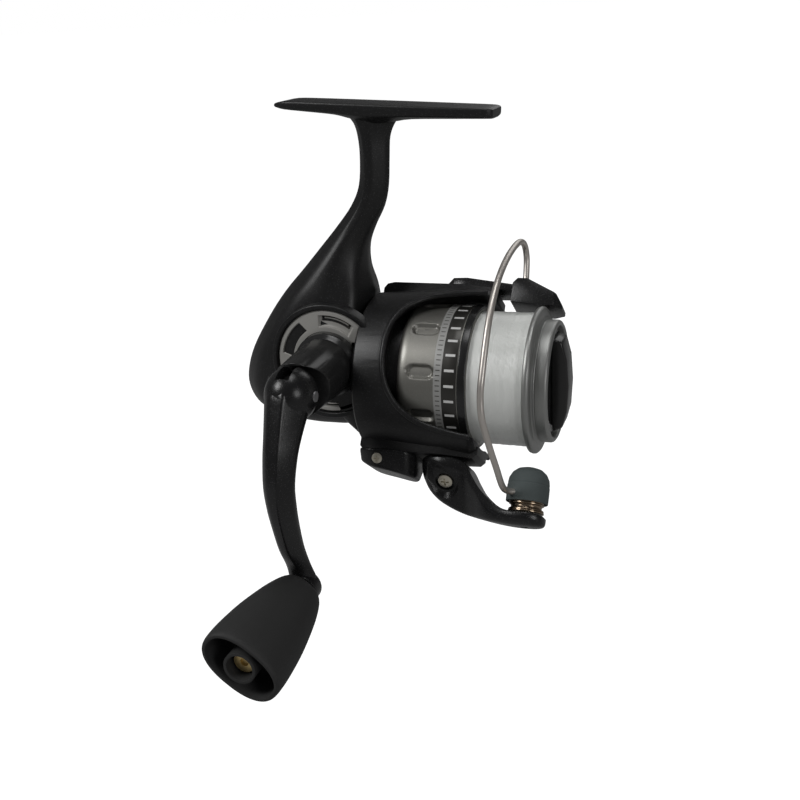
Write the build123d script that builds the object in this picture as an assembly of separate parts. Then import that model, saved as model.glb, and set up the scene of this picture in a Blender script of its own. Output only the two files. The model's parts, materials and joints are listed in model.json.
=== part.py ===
"""Open-face spinning reel with a 44 mm spool, modelled as separate pieces.

Frame: +X is forward along the spool axis, +Z is up towards the rod and -Y is the handle side.
The origin is the centre of the reel foot's top face, where the reel is held on a rod.
All sizes are in millimetres. Pieces are drawn with the spool axis on X and the spool lip's
rear edge at x = 0, and save() moves them to the foot's frame. Pieces of the rotor and bail are
drawn with the rotor's two arms along Z, and rotor_save() turns them to their rest position.
"""

import math
import os

from build123d import *

# ---- driving dimensions ----
LIP_AHEAD = 43.0            # spool lip's rear edge ahead of the foot's centre
AXIS_BELOW = 81.3           # spool axis below the foot's top face
FOOT_TILT = 3.3             # nose-down slope of the foot against the spool axis, degrees
ROTOR_REST = -35.5          # rest angle of the rotor about the spool axis, degrees
LIP_R = 22.0                # spool lip
SKIRT_R = 21.6              # spool skirt, outside
SKIRT_IN_R = 20.1           # spool skirt, inside
SKIRT_REAR = -37.0          # rear edge of the skirt
WIND_REAR = -16.4           # rear end of the line winding
WIND_R = 20.1               # outside of the line winding
ARBOR_R = 13.0              # core that the line is wound on
NOSE_R = 18.1               # nose ring round the drag knob
NOSE_FRONT = 6.8
SHAFT_R = 2.0               # main shaft
RUN = 0.06                  # radial clearance of a running fit
GAP = 0.3                   # clearance between parts that pass each other
DRIVE_X = -59.6             # drive axis, parallel to Y
DRIVE_Z = 7.4
DRIVE_R = 3.5               # drive shaft
PLATE_Y = -15.3             # outer face of the handle-side plate
PLATE_R = 16.0
PLATE_X = -60.6             # centre of the plate's rim, just behind the drive axis
COVER_Y = 11.5              # joint plane of the far side cover
CASE_HALF = 15.0            # half width of the gear case
WALL = 2.2
ROTOR_REAR = -50.0          # rear rim of the rotor
ROTOR_R = 24.6
ROTOR_IN_R = 22.5
DRUM_R = 19.4               # rotor drum inside the spool skirt
PIVOT_X = -23.6             # bail pivot axis
PIVOT_R = 1.14              # shank of a bail pivot screw
ARM_HALF = 8.5              # half width of a rotor arm
ARM_OUT = 26.6              # outer face of a rotor arm, from the spool axis
ROLLER_X = 1.5              # line roller axis
ROLLER_R = 5.3
ELBOW_Y = -44.4             # fold pin of the handle
THROW = 58.9                # drive axis to knob axis
KNOB_Z = DRIVE_Z - THROW
KNOB_BASE = -50.8
KNOB_END = -90.0
KNOB_TURN = 37.0            # rest angle of the knob's paddle about its axis, degrees

os.makedirs("parts", exist_ok=True)


# ---- helpers ----
def save(name, shape):
    """Moves a piece from the spool's frame to the foot's frame and writes it."""
    export_step(Pos(LIP_AHEAD, 0, -AXIS_BELOW) * shape, f"parts/{name}.step")


def rotor_save(name, shape):
    """Turns a rotor or bail piece to its rest angle and writes it."""
    save(name, Rot(ROTOR_REST, 0, 0) * shape)


def rod_x(radius, x0, x1, y=0.0, z=0.0):
    """A cylinder along X."""
    return Pos((x0 + x1) / 2, y, z) * Rot(0, 90, 0) * Cylinder(radius, x1 - x0)


def rod_y(radius, y0, y1, x=0.0, z=0.0):
    """A cylinder along Y."""
    return Pos(x, (y0 + y1) / 2, z) * Rot(90, 0, 0) * Cylinder(radius, y1 - y0)


def rod_z(radius, z0, z1, x=0.0, y=0.0):
    """A cylinder along Z."""
    return Pos(x, y, (z0 + z1) / 2) * Cylinder(radius, z1 - z0)


def block(x0, x1, y0, y1, z0, z1):
    """A box between two corners."""
    return Pos((x0 + x1) / 2, (y0 + y1) / 2, (z0 + z1) / 2) * Box(x1 - x0, y1 - y0, z1 - z0)


def turned(points):
    """A solid of revolution about the spool axis, from (x, radius) points."""
    return revolve(make_face(Polyline(*[(x, 0, r) for x, r in points], close=True)), Axis.X)


def turned_y(points, x, z):
    """A solid of revolution about a line along Y, from (y, radius) points."""
    face = make_face(Polyline(*[(r, y, 0) for y, r in points], close=True))
    return Pos(x, 0, z) * revolve(face, Axis.Y)


def slab_y(outline, y0, y1):
    """A plate with an outline of (x, z) points, from y0 to y1."""
    face = make_face(Polyline(*[(x, y0, z) for x, z in outline], close=True))
    return extrude(face, amount=y1 - y0, dir=(0, 1, 0))


def slab_x(outline, x0, x1):
    """A plate with an outline of (y, z) points, from x0 to x1."""
    face = make_face(Polyline(*[(x0, y, z) for y, z in outline], close=True))
    return extrude(face, amount=x1 - x0, dir=(1, 0, 0))


def slab_z(outline, z0, z1):
    """A plate with an outline of (x, y) points, from z0 to z1."""
    face = make_face(Polyline(*[(x, y, z0) for x, y in outline], close=True))
    return extrude(face, amount=z1 - z0, dir=(0, 0, 1))


def ring_of(count, start=0.0):
    """Angles in degrees of evenly spaced features."""
    return [start + 360.0 * i / count for i in range(count)]


def screw_z(x, y, head, tip, head_r=1.6, head_h=1.2, shank_r=0.9):
    """A cross-head screw along Z, from its head's face to its tip; head and tip give the direction."""
    way = 1 if head > tip else -1
    z0, z1 = sorted((head, head - way * head_h))
    s0, s1 = sorted((head - way * head_h, tip))
    body = rod_z(head_r, z0, z1, x, y) + rod_z(shank_r, s0, s1, x, y)
    cut = 0.6
    for turn in (0, 90):
        body -= Pos(x, y, head - way * cut / 2) * Rot(0, 0, turn) * Box(head_r * 1.4, 0.5, cut)
    return body


def screw_y(x, z, head, tip, head_r=1.9, head_h=1.3, shank_r=1.1):
    """A cross-head screw along Y."""
    return Pos(x, 0, z) * Rot(90, 0, 0) * screw_z(0, 0, -head, -tip, head_r, head_h, shank_r)


# ---- housing: gear case, stem and foot ----
REAR_LINE = [(-51.0, 77.0), (-50.2, 66.0), (-52.4, 54.6), (-58.4, 45.4), (-65.2, 36.8), (-72.4, 28.1),
             (-80.0, 17.2), (-86.6, 8.0), (-89.6, 1.1), (-90.0, -5.8), (-88.0, -11.5), (-83.6, -14.8)]
FRONT_LINE = [(-74.0, -15.8), (-62.0, -15.2), (-53.0, -15.0), (-51.2, 22.0), (-53.4, 26.0), (-54.6, 33.0),
              (-53.4, 40.0), (-50.0, 46.0), (-45.8, 53.0), (-43.8, 66.0), (-42.8, 77.0)]
HALF_WIDTHS = [(77.0, 4.6), (58.0, 4.4), (50.0, 5.4), (40.0, 8.6), (30.0, 12.2), (22.0, 14.4),
               (14.0, CASE_HALF),
               (-8.0, CASE_HALF), (-13.0, 12.6), (-15.9, 9.0)]


def case_solid(inset):
    """The housing's closed outer shape, or the space inside a wall of the given thickness."""
    side = make_face(Polyline(*[(x, -20, z) for x, z in REAR_LINE + FRONT_LINE], close=True))
    right = [(w - inset, z) for z, w in HALF_WIDTHS]
    left = [(-w, z) for w, z in reversed(right)]
    front = make_face(Polyline(*[(-100, y, z) for y, z in right + left], close=True))
    if inset:
        side = offset(side, -inset)
    return extrude(side, amount=40, dir=(0, 1, 0)) & extrude(front, amount=65, dir=(1, 0, 0))


def foot_solid():
    """The foot, a tilted plate with thin tongues fore and aft and a thick middle over the stem."""
    side = [(-32.6, -0.8), (-27.4, 0.0), (32.6, 0.0), (32.6, -3.0), (20.0, -3.9), (8.0, -5.6), (3.0, -8.0),
            (-11.0, -8.0), (-15.0, -5.0), (-22.0, -3.4), (-32.6, -2.2)]
    plan = [(-32.6, -4.0), (-29.5, -6.2), (-10.0, -7.0), (12.0, -7.2), (30.0, -6.6), (32.6, -4.6)]
    plan += [(x, -y) for x, y in reversed(plan)]
    plate = slab_y(side, -10, 10) & slab_z(plan, -12, 2)
    return Pos(-LIP_AHEAD, 0, AXIS_BELOW) * Rot(0, FOOT_TILT, 0) * plate


SCREW_SPOTS = [(-83.4, -9.0), (-75.6, 17.6), (-57.6, 21.6), (-57.5, -10.6)]
outer = case_solid(0.0)
inner = case_solid(WALL) & block(-100, -46.4, -20, 20, -20, 38)
collar = rod_x(20.8, -53.4, -44.0) & block(-60, -40, -CASE_HALF - 0.2, CASE_HALF + 0.2, -30, 30)
boss = rod_x(12.6, -44.0, -33.0)
RIDGE_LINE = [(-49.6, 66.0), (-44.6, 66.0), (-42.6, 71.0), (-37.6, 77.6), (-55.4, 77.6), (-51.0, 71.0)]
stem_ridge = slab_y(RIDGE_LINE, -5.0, 5.0)
housing = outer + collar + boss + stem_ridge + foot_solid()
housing -= inner
housing -= rod_x(19.0, -57.0, -46.6) & block(-60, -40, -12.8, 12.8, -12.8, 21.0)
housing -= rod_y(12.6, -9.6, -3.5, DRIVE_X, DRIVE_Z) + rod_y(9.0, 8.8, 16, DRIVE_X, DRIVE_Z)
rim = rod_y(PLATE_R + 1.9, -15.9, -12.6, PLATE_X, DRIVE_Z)
housing += rim - rod_y(PLATE_R - 2.2, -16, -12.4, PLATE_X, DRIVE_Z)
housing -= rod_y(PLATE_R, -17, PLATE_Y + 2.2, PLATE_X, DRIVE_Z)
housing -= rod_y(PLATE_R - 2.2, -17, -10, PLATE_X, DRIVE_Z)
rotor_room = rod_x(40, ROTOR_REAR - 0.5, -30) - rod_x(21.8, ROTOR_REAR - 1, -29)
housing -= rotor_room & block(-52, -30, -40, 40, -40, 40)
housing -= rod_x(24, -43.7, -30) - rod_x(14, -44, -29)
for sx, sz in SCREW_SPOTS:
    housing += rod_y(2.7, 4.8, COVER_Y, sx, sz) & outer
    housing -= rod_y(1.1, 5.6, COVER_Y + 1, sx, sz)
cover_zone = block(-95, ROTOR_REAR - 0.5, COVER_Y, 20, -18, 26)
far_case = outer & cover_zone
housing -= cover_zone
housing -= rod_x(7.0, -47, -42)
housing -= rod_x(9.0, -42, -32)
housing -= rod_x(4.9, -60, -46)
GUIDE_Z = -8.6
GUIDE_REAR = -88.6
housing -= rod_x(1.0, GUIDE_REAR, -45.6, 0, GUIDE_Z)
LEVER_X = -80.0
LEVER_Z = -14.4
LEVER_Y = 5.0
housing -= block(-87.2, -77.6, LEVER_Y - 3.2, LEVER_Y + 3.2, -20, -12.4)
housing -= rod_y(0.96, LEVER_Y - 5.2, LEVER_Y + 5.2, LEVER_X, LEVER_Z)
save("body_housing", housing.solids().sort_by(SortBy.VOLUME)[-1])

side_cover = far_case - (case_solid(WALL) & block(-95, -40, 0, 20, -14, 24))
side_cover += rod_y(8.6, 9.0, 14.8, DRIVE_X, DRIVE_Z)
side_cover -= rod_y(6.5, 8.8, 12.8, DRIVE_X, DRIVE_Z)
side_cover -= rod_y(DRIVE_R + 0.5, 8, 16, DRIVE_X, DRIVE_Z)
OSC_X = -73.5
OSC_R = 10.5
side_cover += rod_y(3.4, 9.2, 13.5, OSC_X, 0) + rod_y(2.0, 5.8, 9.2, OSC_X, 0)
for sx, sz in SCREW_SPOTS:
    side_cover += rod_y(3.1, COVER_Y, 15.6, sx, sz)
    side_cover -= rod_y(1.1, COVER_Y - 1, 16, sx, sz) + rod_y(1.9, 13.8, 16, sx, sz)
side_cover -= rotor_room
save("side_cover", side_cover.solids().sort_by(SortBy.VOLUME)[-1])
save("side_cover_screws", Compound([screw_y(sx, sz, 15.1, 6.2) for sx, sz in SCREW_SPOTS]))

# ---- handle-side plate, with five arc-shaped recesses ----
plate = rod_y(PLATE_R, PLATE_Y, PLATE_Y + 2.2, PLATE_X, DRIVE_Z)
plate += rod_y(8.8, PLATE_Y, -11.0, DRIVE_X, DRIVE_Z)
plate -= rod_y(6.5, PLATE_Y - 1, -10.8, DRIVE_X, DRIVE_Z)
WINDOW_ANGLES = [74.0, 148.0, 216.0, 281.0, 352.0]
for angle in WINDOW_ANGLES:
    band = rod_y(14.6, PLATE_Y - 1, PLATE_Y + 0.9, 0, 0) - rod_y(10.9, PLATE_Y - 2, PLATE_Y + 2, 0, 0)
    wedge = slab_y([(5, -3.5), (16, -6.2), (16, 6.2), (5, 3.5)], PLATE_Y - 1, PLATE_Y + 0.9)
    plate -= Pos(PLATE_X, 0, DRIVE_Z) * Rot(0, -angle, 0) * (band & wedge)
plate -= rotor_room
save("handle_side_plate", plate)
near_ring = rod_y(6.5, PLATE_Y, -11.2, DRIVE_X, DRIVE_Z)
save("drive_bearing_near", near_ring - rod_y(DRIVE_R + RUN, -16, -10, DRIVE_X, DRIVE_Z))
save("drive_bearing_far", rod_y(6.5, 9.2, 12.8, DRIVE_X, DRIVE_Z) - rod_y(DRIVE_R + RUN, 8, 14, DRIVE_X,
                                                                          DRIVE_Z))

# ---- drive train ----
def toothed(radius, root, width, count, bore):
    """A spur gear disc along Y, centred on the origin's axis, starting at y = 0."""
    gear = rod_y(radius, 0, width)
    for angle in ring_of(count):
        notch = math.pi * radius / count
        gear -= Rot(0, angle, 0) * block(root, radius + 1, -1, width + 1, -notch / 2, notch / 2)
    return gear - rod_y(bore, -1, width + 1)


GEAR_TEETH = 50
GEAR_R = 12.0
PINION_TEETH = 10
drive_gear = rod_y(GEAR_R, -9.0, -4.7, DRIVE_X, DRIVE_Z) - rod_y(8.6, -5.7, -4, DRIVE_X, DRIVE_Z)
for angle in ring_of(GEAR_TEETH):
    drive_gear -= Pos(DRIVE_X, 0, DRIVE_Z) * Rot(0, angle, 0) * block(8.4, GEAR_R + 0.5, -5.6, -4, -0.38,
                                                                      0.38)
drive_gear += rod_y(6.0, -10.9, -9.0, DRIVE_X, DRIVE_Z)
drive_gear -= rod_y(DRIVE_R, -12, -4, DRIVE_X, DRIVE_Z)
save("drive_gear", drive_gear)
drive_shaft = rod_y(DRIVE_R, -20.0, 17.0, DRIVE_X, DRIVE_Z)
save("drive_shaft", drive_shaft)
small_gear = Pos(DRIVE_X, 6.0, DRIVE_Z) * toothed(5.2, 4.5, 2.5, 12, DRIVE_R)
save("oscillation_pinion", small_gear)
osc_gear = Pos(OSC_X, 6.0, 0) * toothed(OSC_R, 9.6, 2.5, 24, SHAFT_R + RUN)
osc_gear += rod_y(1.5, 4.8, 6.0, OSC_X - 7.0, 0)
save("oscillation_gear", osc_gear)

pinion = rod_x(4.6, -52.5, -46.6) + rod_x(DRIVE_R, -46.6, -24.0) + rod_x(3.0, -24.0, -18.0)
for angle in ring_of(PINION_TEETH):
    pinion -= Rot(angle, 0, 0) * block(-53, -46.6, 3.6, 5, -0.7, 0.7)
pinion -= rod_x(SHAFT_R + RUN, -54, -16)
save("pinion_gear", pinion)
save("pinion_bearing", rod_x(7.0, -46.4, -42.1) - rod_x(DRIVE_R + RUN, -47, -42))
save("clutch_sleeve", rod_x(4.5, -41.9, -34.0) - rod_x(DRIVE_R, -42, -33))
clutch = rod_x(9.0, -41.9, -34.4) - rod_x(4.5 + RUN, -42, -34)
save("one_way_clutch", clutch)
retainer = rod_x(12.0, -33.0, -31.8) - rod_x(4.9, -34, -31)
retainer_screws = []
for angle in ring_of(3, 30):
    turn = Rot(angle, 0, 0)
    retainer -= turn * rod_x(0.8, -34, -31, 10.4)
    retainer_screws.append(turn * (rod_x(1.4, -31.8, -31.0, 10.4) + rod_x(0.8, -33.0, -31.8, 10.4)))
save("clutch_retainer", retainer)
save("clutch_retainer_screws", Compound(retainer_screws))

# ---- main shaft, slider and guide rod ----
main_shaft = rod_x(SHAFT_R, -86.0, 6.0)
save("main_shaft", main_shaft)
slider = block(-83.5, -77.5, -4.0, 4.4, -10.8, 8.6)
slider -= rod_x(SHAFT_R, -84, -77) + rod_x(1.0 + RUN, -84, -77, 0, GUIDE_Z)
slider -= block(-82.3, -78.7, 2.4, 5.0, -8.4, 8.4)
slider -= rod_y(0.9, -4.5, -SHAFT_R, -80.5, 0) + rod_y(1.7, -4.5, -3.2, -80.5, 0)
save("oscillation_slider", slider)
save("slider_screw", rod_y(0.9, -3.2, -SHAFT_R, -80.5, 0) + rod_y(1.7, -4.0, -3.2, -80.5, 0))
save("guide_rod", rod_x(1.0, GUIDE_REAR, -45.6, 0, GUIDE_Z))

# ---- spool ----
skirt_profile = [(SKIRT_REAR, SKIRT_IN_R), (SKIRT_REAR, SKIRT_R - 1.1), (SKIRT_REAR + 0.8, SKIRT_R - 0.4),
                 (SKIRT_REAR + 2.2, SKIRT_R), (-18.6, SKIRT_R), (-18.6, 20.9), (-16.4, 20.9),
                 (-16.4, ARBOR_R),
                 (0.0, ARBOR_R), (0.0, 11.5), (-11.0, 11.5), (-11.0, 7.6), (-12.0, 7.6), (-12.0, 2.1),
                 (-14.5, 2.1), (-14.5, 11.5), (-17.4, 11.5), (-17.4, SKIRT_IN_R)]
spool = turned(skirt_profile)
DIMPLES = 12
for angle in ring_of(DIMPLES, 15):
    spool -= Rot(angle, 0, 0) * (rod_z(2.2, 20.9, 23, -31.4) + rod_z(2.2, 20.9, 23, -27.2)
                                 + block(-31.4, -27.2, -2.2, 2.2, 20.9, 23))
save("spool", spool)
save("skirt_trim_ring", turned([(-18.6, 20.9), (-18.6, 21.9), (-16.4, 21.7), (-16.4, 20.9)]))
lip_profile = [(0.0, 11.5), (0.0, LIP_R - 0.6), (0.7, LIP_R), (1.7, LIP_R), (2.3, LIP_R - 0.7), (2.6, 20.0),
               (3.2, NOSE_R), (NOSE_FRONT - 0.5, NOSE_R), (NOSE_FRONT, NOSE_R - 0.5), (NOSE_FRONT, 16.9),
               (NOSE_FRONT - 0.4, 16.6), (2.0, 16.6), (1.6, 11.5)]
save("spool_lip_ring", turned(lip_profile))
line = turned([(WIND_REAR, ARBOR_R), (WIND_REAR, WIND_R), (0.0, WIND_R), (0.0, ARBOR_R)])
save("line_winding", line)
save("click_gear", Rot(0, 0, -90) * Pos(0, -15.9, 0) * toothed(9.0, 8.2, 1.4, 24, 6.8))

# ---- drag ----
DRAG_X = -11.9
washer_t = 0.9
WASHERS = ("drag_felt_washer_1", "drag_metal_washer_1", "drag_felt_washer_2", "drag_metal_washer_2")
for index, name in enumerate(WASHERS):
    x0 = DRAG_X + index * washer_t
    outer_r = 7.4 if index == 0 else 10.8
    save(name, rod_x(outer_r, x0, x0 + washer_t) - rod_x(SHAFT_R + 0.1, x0 - 1, x0 + 2))
clip = rod_x(11.4, -7.6, -7.0) - rod_x(10.0, -8, -6.5)
clip -= block(-8, -6, -12, 12, -1.6, 12) & block(-8, -6, -1.6, 1.6, 0, 12)
save("drag_retainer_clip", clip)
save("drag_spring", turned([(-7.9, 3.0), (-7.9, 4.6), (-7.3, 5.0), (-6.7, 4.6), (-6.1, 5.0), (-5.5, 4.6),
                            (-5.5, 3.0), (-6.1, 2.6), (-6.7, 3.0), (-7.3, 2.6)]))
knob_disc = turned([(2.1, SHAFT_R + 0.1), (2.1, 15.6), (3.0, 16.2), (4.6, 16.2), (5.4, 15.4),
                    (5.4, SHAFT_R + 0.1)])
knob_disc += turned([(-5.2, 2.1), (-5.2, 9.6), (2.1, 9.6), (2.1, 2.1)])
for angle in ring_of(18):
    knob_disc -= Rot(angle, 0, 0) * block(4.4, 6, 13.2, 17, -0.5, 0.5)
grip_side = [(5.4, -14.6), (8.6, -13.4), (10.0, -8.0), (10.5, 0.0), (10.0, 8.0), (8.6, 13.4), (5.4, 14.6)]
grip = slab_y(grip_side, -4.5, 4.5)
save("drag_knob", knob_disc)
save("drag_knob_grip", grip - rod_x(SHAFT_R + 0.1, 0, 7))

# ---- rotor, drawn with its arms along Z ----
rotor_shell = turned([(ROTOR_REAR, ROTOR_IN_R), (ROTOR_REAR, ROTOR_R - 0.7), (ROTOR_REAR + 0.7, ROTOR_R),
                      (-40.0, 25.2), (-20.0, 26.2), (-15.6, 26.2), (-14.0, 25.0), (-14.0, ROTOR_IN_R)])
half_window = [(-9.0, 22.2), (-20.0, 21.4), (-28.0, 19.8), (-33.0, 17.6), (-37.0, 14.2), (-39.6, 9.6),
               (-40.4, 5.0)]
window = half_window + [(x, -z) for x, z in reversed(half_window)]
rotor_shell -= slab_y(window, -40, 40)
drum = turned([(-43.2, 17.6), (-43.2, DRUM_R), (-20.6, DRUM_R), (-20.6, DRIVE_R), (-29.5, DRIVE_R),
               (-29.5, 7.4), (-23.4, 7.4), (-23.4, 17.6)])
web = turned([(-43.2, DRUM_R - 0.2), (-43.2, ROTOR_IN_R + 0.3), (-41.0, ROTOR_IN_R + 0.3),
              (-41.0, DRUM_R - 0.2)])
rotor = rotor_shell + drum + web
ARM_SIDE = [(-50.0, 23.0), (-50.0, 25.4), (-48.8, ARM_OUT), (-15.0, ARM_OUT), (-13.6, 25.4), (-13.6, 23.0)]
ARM_PLAN = [(-50.0, -6.4), (-46.0, -ARM_HALF), (-24.0, -ARM_HALF), (-13.6, -6.0),
            (-13.6, 6.0), (-24.0, ARM_HALF), (-46.0, ARM_HALF), (-50.0, 6.4)]
for way in (1, -1):
    arm = slab_y([(x, way * z) for x, z in ARM_SIDE], -12, 12) & slab_z(ARM_PLAN,
                                                                        *sorted((way * 20, way * 32)))
    rotor += arm - rod_x(ROTOR_IN_R, -60, 0)
    rotor -= rod_z(1.2, *sorted((way * 23.2, way * 31)), PIVOT_X, 0)
    rotor -= rod_z(1.0, *sorted((way * 23.2, way * 31)), -45.5, 0)
rotor_save("rotor", rotor.solids().sort_by(SortBy.VOLUME)[-1])

nut = Rot(0, 90, 0) * extrude(RegularPolygon(5.6, 6), 2.6)
rotor_save("rotor_nut", Pos(-20.6, 0, 0) * nut - rod_x(3.0, -22, -17))
COVER_PLAN = [(-49.6, -5.4), (-46.0, -7.4), (-34.8, -7.4), (-32.4, -4.2), (-32.4, 4.2), (-34.8, 7.4),
              (-46.0, 7.4),
              (-49.6, 5.4)]
COVER_SIDES = {"near": [(-49.6, ARM_OUT), (-49.6, 29.4), (-46.4, 31.2), (-31.8, 33.0), (-31.8, ARM_OUT)],
               "far": [(-49.6, ARM_OUT), (-48.6, 27.6), (-32.6, 27.6), (-31.8, ARM_OUT)]}
COVER_HEAD = {"near": 31.0, "far": 27.5}
for way, name in ((-1, "near"), (1, "far")):
    head = COVER_HEAD[name]
    cover = slab_y([(x, way * z) for x, z in COVER_SIDES[name]], -9, 9)
    cover &= slab_z(COVER_PLAN, *sorted((way * 20, way * 40)))
    cover -= rod_z(1.0, *sorted((way * 25, way * 32)), -45.5, 0)
    cover -= rod_z(1.6, *sorted((way * (head - 0.8), way * 34)), -45.5, 0)
    if name == "near":
        cover -= block(-42.6, -32.8, -1.9, 1.9, *sorted((way * 25.0, way * 30.2)))
    rotor_save(f"rotor_arm_cover_{name}", cover)
    rotor_save(f"arm_cover_screw_{name}", screw_z(-45.5, 0, way * head, way * 23.2, 1.6, 0.8, 1.0))
spring_points = [(-42.4, 0.0), (-42.4, 1.3)]
for index in range(9):
    spring_points += [(-42.0 + index, 1.6), (-41.5 + index, 1.3)]
spring_points += [(-33.0, 1.3), (-33.0, 0.0)]
rotor_save("bail_spring", Pos(0, 0, -28.4) * turned(spring_points))

# ---- bail ----
LEVER_IN = ARM_OUT + GAP
LEVER_NEAR = [(-31.0, LEVER_IN), (-31.0, 32.0), (-28.0, 36.6), (-23.6, 39.4), (-17.0, 41.8), (-10.0, 43.4),
              (-2.0, 44.3),
              (7.2, 44.3), (7.2, 40.4), (-4.5, 40.4), (-8.0, 38.6), (-13.0, 34.4), (-16.2, 30.0),
              (-16.2, LEVER_IN)]
LEVER_NEAR_PLAN = [(-31.0, -2.6), (-29.2, -5.6), (-26.0, -7.4), (-21.0, -7.4), (-16.0, -6.6), (-9.0, -5.2),
                   (-2.0, -5.6),
                   (3.0, -5.6), (6.2, -3.6), (7.2, 0.0), (6.2, 3.6), (3.0, 5.6), (-2.0, 5.6), (-9.0, 5.2),
                   (-16.0, 6.6), (-21.0, 7.4), (-26.0, 7.4), (-29.2, 5.6), (-31.0, 2.6)]
near_lever = slab_y([(x, -r) for x, r in LEVER_NEAR], -9, 9) & slab_z(LEVER_NEAR_PLAN, -46, -25)
near_lever -= rod_z(3.0, -46, -36.0, PIVOT_X, 0)
near_lever -= Pos(PIVOT_X, 0, 0) * Rot(0, 0, 37) * rod_z(PIVOT_R + RUN, -38, -25)
near_lever -= rod_z(1.3, -44, -40, ROLLER_X, 0)
rotor_save("bail_lever_near", near_lever)
rotor_save("bail_pivot_screw_near", screw_z(PIVOT_X, 0, -37.4, -23.2, 2.8, 1.4, PIVOT_R))
FAR_SIDE = [(-30.0, LEVER_IN), (-30.0, 29.0), (-27.5, 29.8), (-12.0, 29.6), (-9.5, 31.2), (-3.0, 31.2),
            (4.8, 26.4), (5.6, 23.8),
            (-2.5, 23.8), (-7.5, 25.6), (-10.0, LEVER_IN)]
FAR_PLAN = [(-30.0, -3.0), (-28.0, -5.6), (-23.6, -6.6), (-14.0, -6.4), (-9.0, -8.4), (2.0, -8.0),
            (5.6, -4.0),
            (5.6, 3.0), (2.0, 6.6), (-9.0, 6.8), (-14.0, 6.4), (-23.6, 6.6), (-28.0, 5.6), (-30.0, 3.0)]
far_lever = slab_y(FAR_SIDE, -12, 12) & slab_z(FAR_PLAN, 22, 36)
far_lever -= rod_z(2.7, 28.4, 36, PIVOT_X, 0)
far_lever -= Pos(PIVOT_X, 0, 0) * Rot(0, 0, 37) * rod_z(PIVOT_R + RUN, 22, 36)
WIRE_R = 0.95
WIRE_X = -7.0
WIRE_ARC = 38.0
WIRE_SWELL = 1.035          # corners stand out by this much, so that their arcs lie on WIRE_ARC
wire_points = [(-1.6, -3.2, -34.2), (-4.7, -9.6, -35.6)]
for angle in (-34, -14, 6, 26, 46):
    reach = WIRE_SWELL * WIRE_ARC
    wire_points.append((WIRE_X, -reach * math.cos(math.radians(angle)),
                        reach * math.sin(math.radians(angle))))
wire_points += [(-6.4, -10.4, 37.6), (-4.6, -6.2, 30.0)]
wire_radii = [3.0, 16.0, 30.0, 30.0, 30.0, 24.0, 3.0]
wire_path = FilletPolyline(*wire_points, radius=wire_radii)
start = Plane(origin=wire_path @ 0, z_dir=wire_path % 0)
wire = sweep(start * Circle(WIRE_R), wire_path)
far_lever -= wire
rotor_save("bail_lever_far", far_lever.solids().sort_by(SortBy.VOLUME)[-1])
rotor_save("bail_pivot_screw_far", screw_z(PIVOT_X, 0, 29.4, 23.2, 2.5, 1.0, PIVOT_R))
cap = rod_z(5.65, -35.6, -27.2, ROLLER_X, 0)
cap = chamfer(cap.edges().filter_by(GeomType.CIRCLE).sort_by(Axis.Z)[-1], 1.2)
cap -= rod_z(1.2, -36, -32, ROLLER_X, 0)
cap -= wire
rotor_save("bail_wire", wire)
rotor_save("bail_roller_cap", cap)
roller = Pos(ROLLER_X, 0, 0) * revolve(make_face(Polyline(
    (2.2, 0, -35.8), (ROLLER_R, 0, -35.8), (ROLLER_R - 0.9, 0, -37.4), (ROLLER_R - 0.9, 0, -38.4),
    (ROLLER_R, 0, -40.2), (2.2, 0, -40.2), close=True)), Axis.Z)
rotor_save("line_roller", roller)
bush = rod_z(2.12, -40.4, -35.6, ROLLER_X, 0) - rod_z(1.2, -41, -35, ROLLER_X, 0)
rotor_save("line_roller_bush", bush)
rotor_save("line_roller_screw", rod_z(1.2, -43.6, -32.0, ROLLER_X, 0))

# ---- handle ----
KNUCKLE_R = 8.0             # the arm's round knuckle, seated in the collar's hollow end
KNUCKLE_HALF = 7.4
TONGUE_HALF = 1.7           # the collar's tongue in the knuckle's slot
collar_outline = [(PLATE_Y - 0.5, DRIVE_R), (PLATE_Y - 0.5, 9.4), (-16.6, 10.0), (-19.2, 10.0), (-20.6, 8.9),
                  (-26.0, 8.9),
                  (-41.0, 8.1), (-41.0, 0.0), (-20.0, 0.0), (-20.0, DRIVE_R)]
handle_collar = turned_y(collar_outline, DRIVE_X, DRIVE_Z)
handle_collar -= rod_x(KNUCKLE_R + 0.15, DRIVE_X - 12, DRIVE_X + 12, ELBOW_Y, DRIVE_Z)
tongue = block(DRIVE_X - TONGUE_HALF, DRIVE_X + TONGUE_HALF, ELBOW_Y, -35.4, DRIVE_Z - 4.8, DRIVE_Z + 4.8)
tongue += rod_x(4.8, DRIVE_X - TONGUE_HALF, DRIVE_X + TONGUE_HALF, ELBOW_Y, DRIVE_Z)
handle_collar += tongue
handle_collar -= rod_x(1.5, DRIVE_X - 10, DRIVE_X + 10, ELBOW_Y, DRIVE_Z)
save("handle_collar", handle_collar)
save("handle_fold_pin", rod_x(1.5, DRIVE_X - KNUCKLE_HALF - 0.2, DRIVE_X + KNUCKLE_HALF + 0.2, ELBOW_Y,
                              DRIVE_Z))
save("handle_screw_cap", turned_y([(15.4, DRIVE_R), (15.4, 7.6), (16.4, 8.2), (20.4, 7.8), (21.4, 6.8),
                                   (21.4, 0.0),
                                   (17.0, 0.0), (17.0, DRIVE_R)], DRIVE_X, DRIVE_Z))
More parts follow.
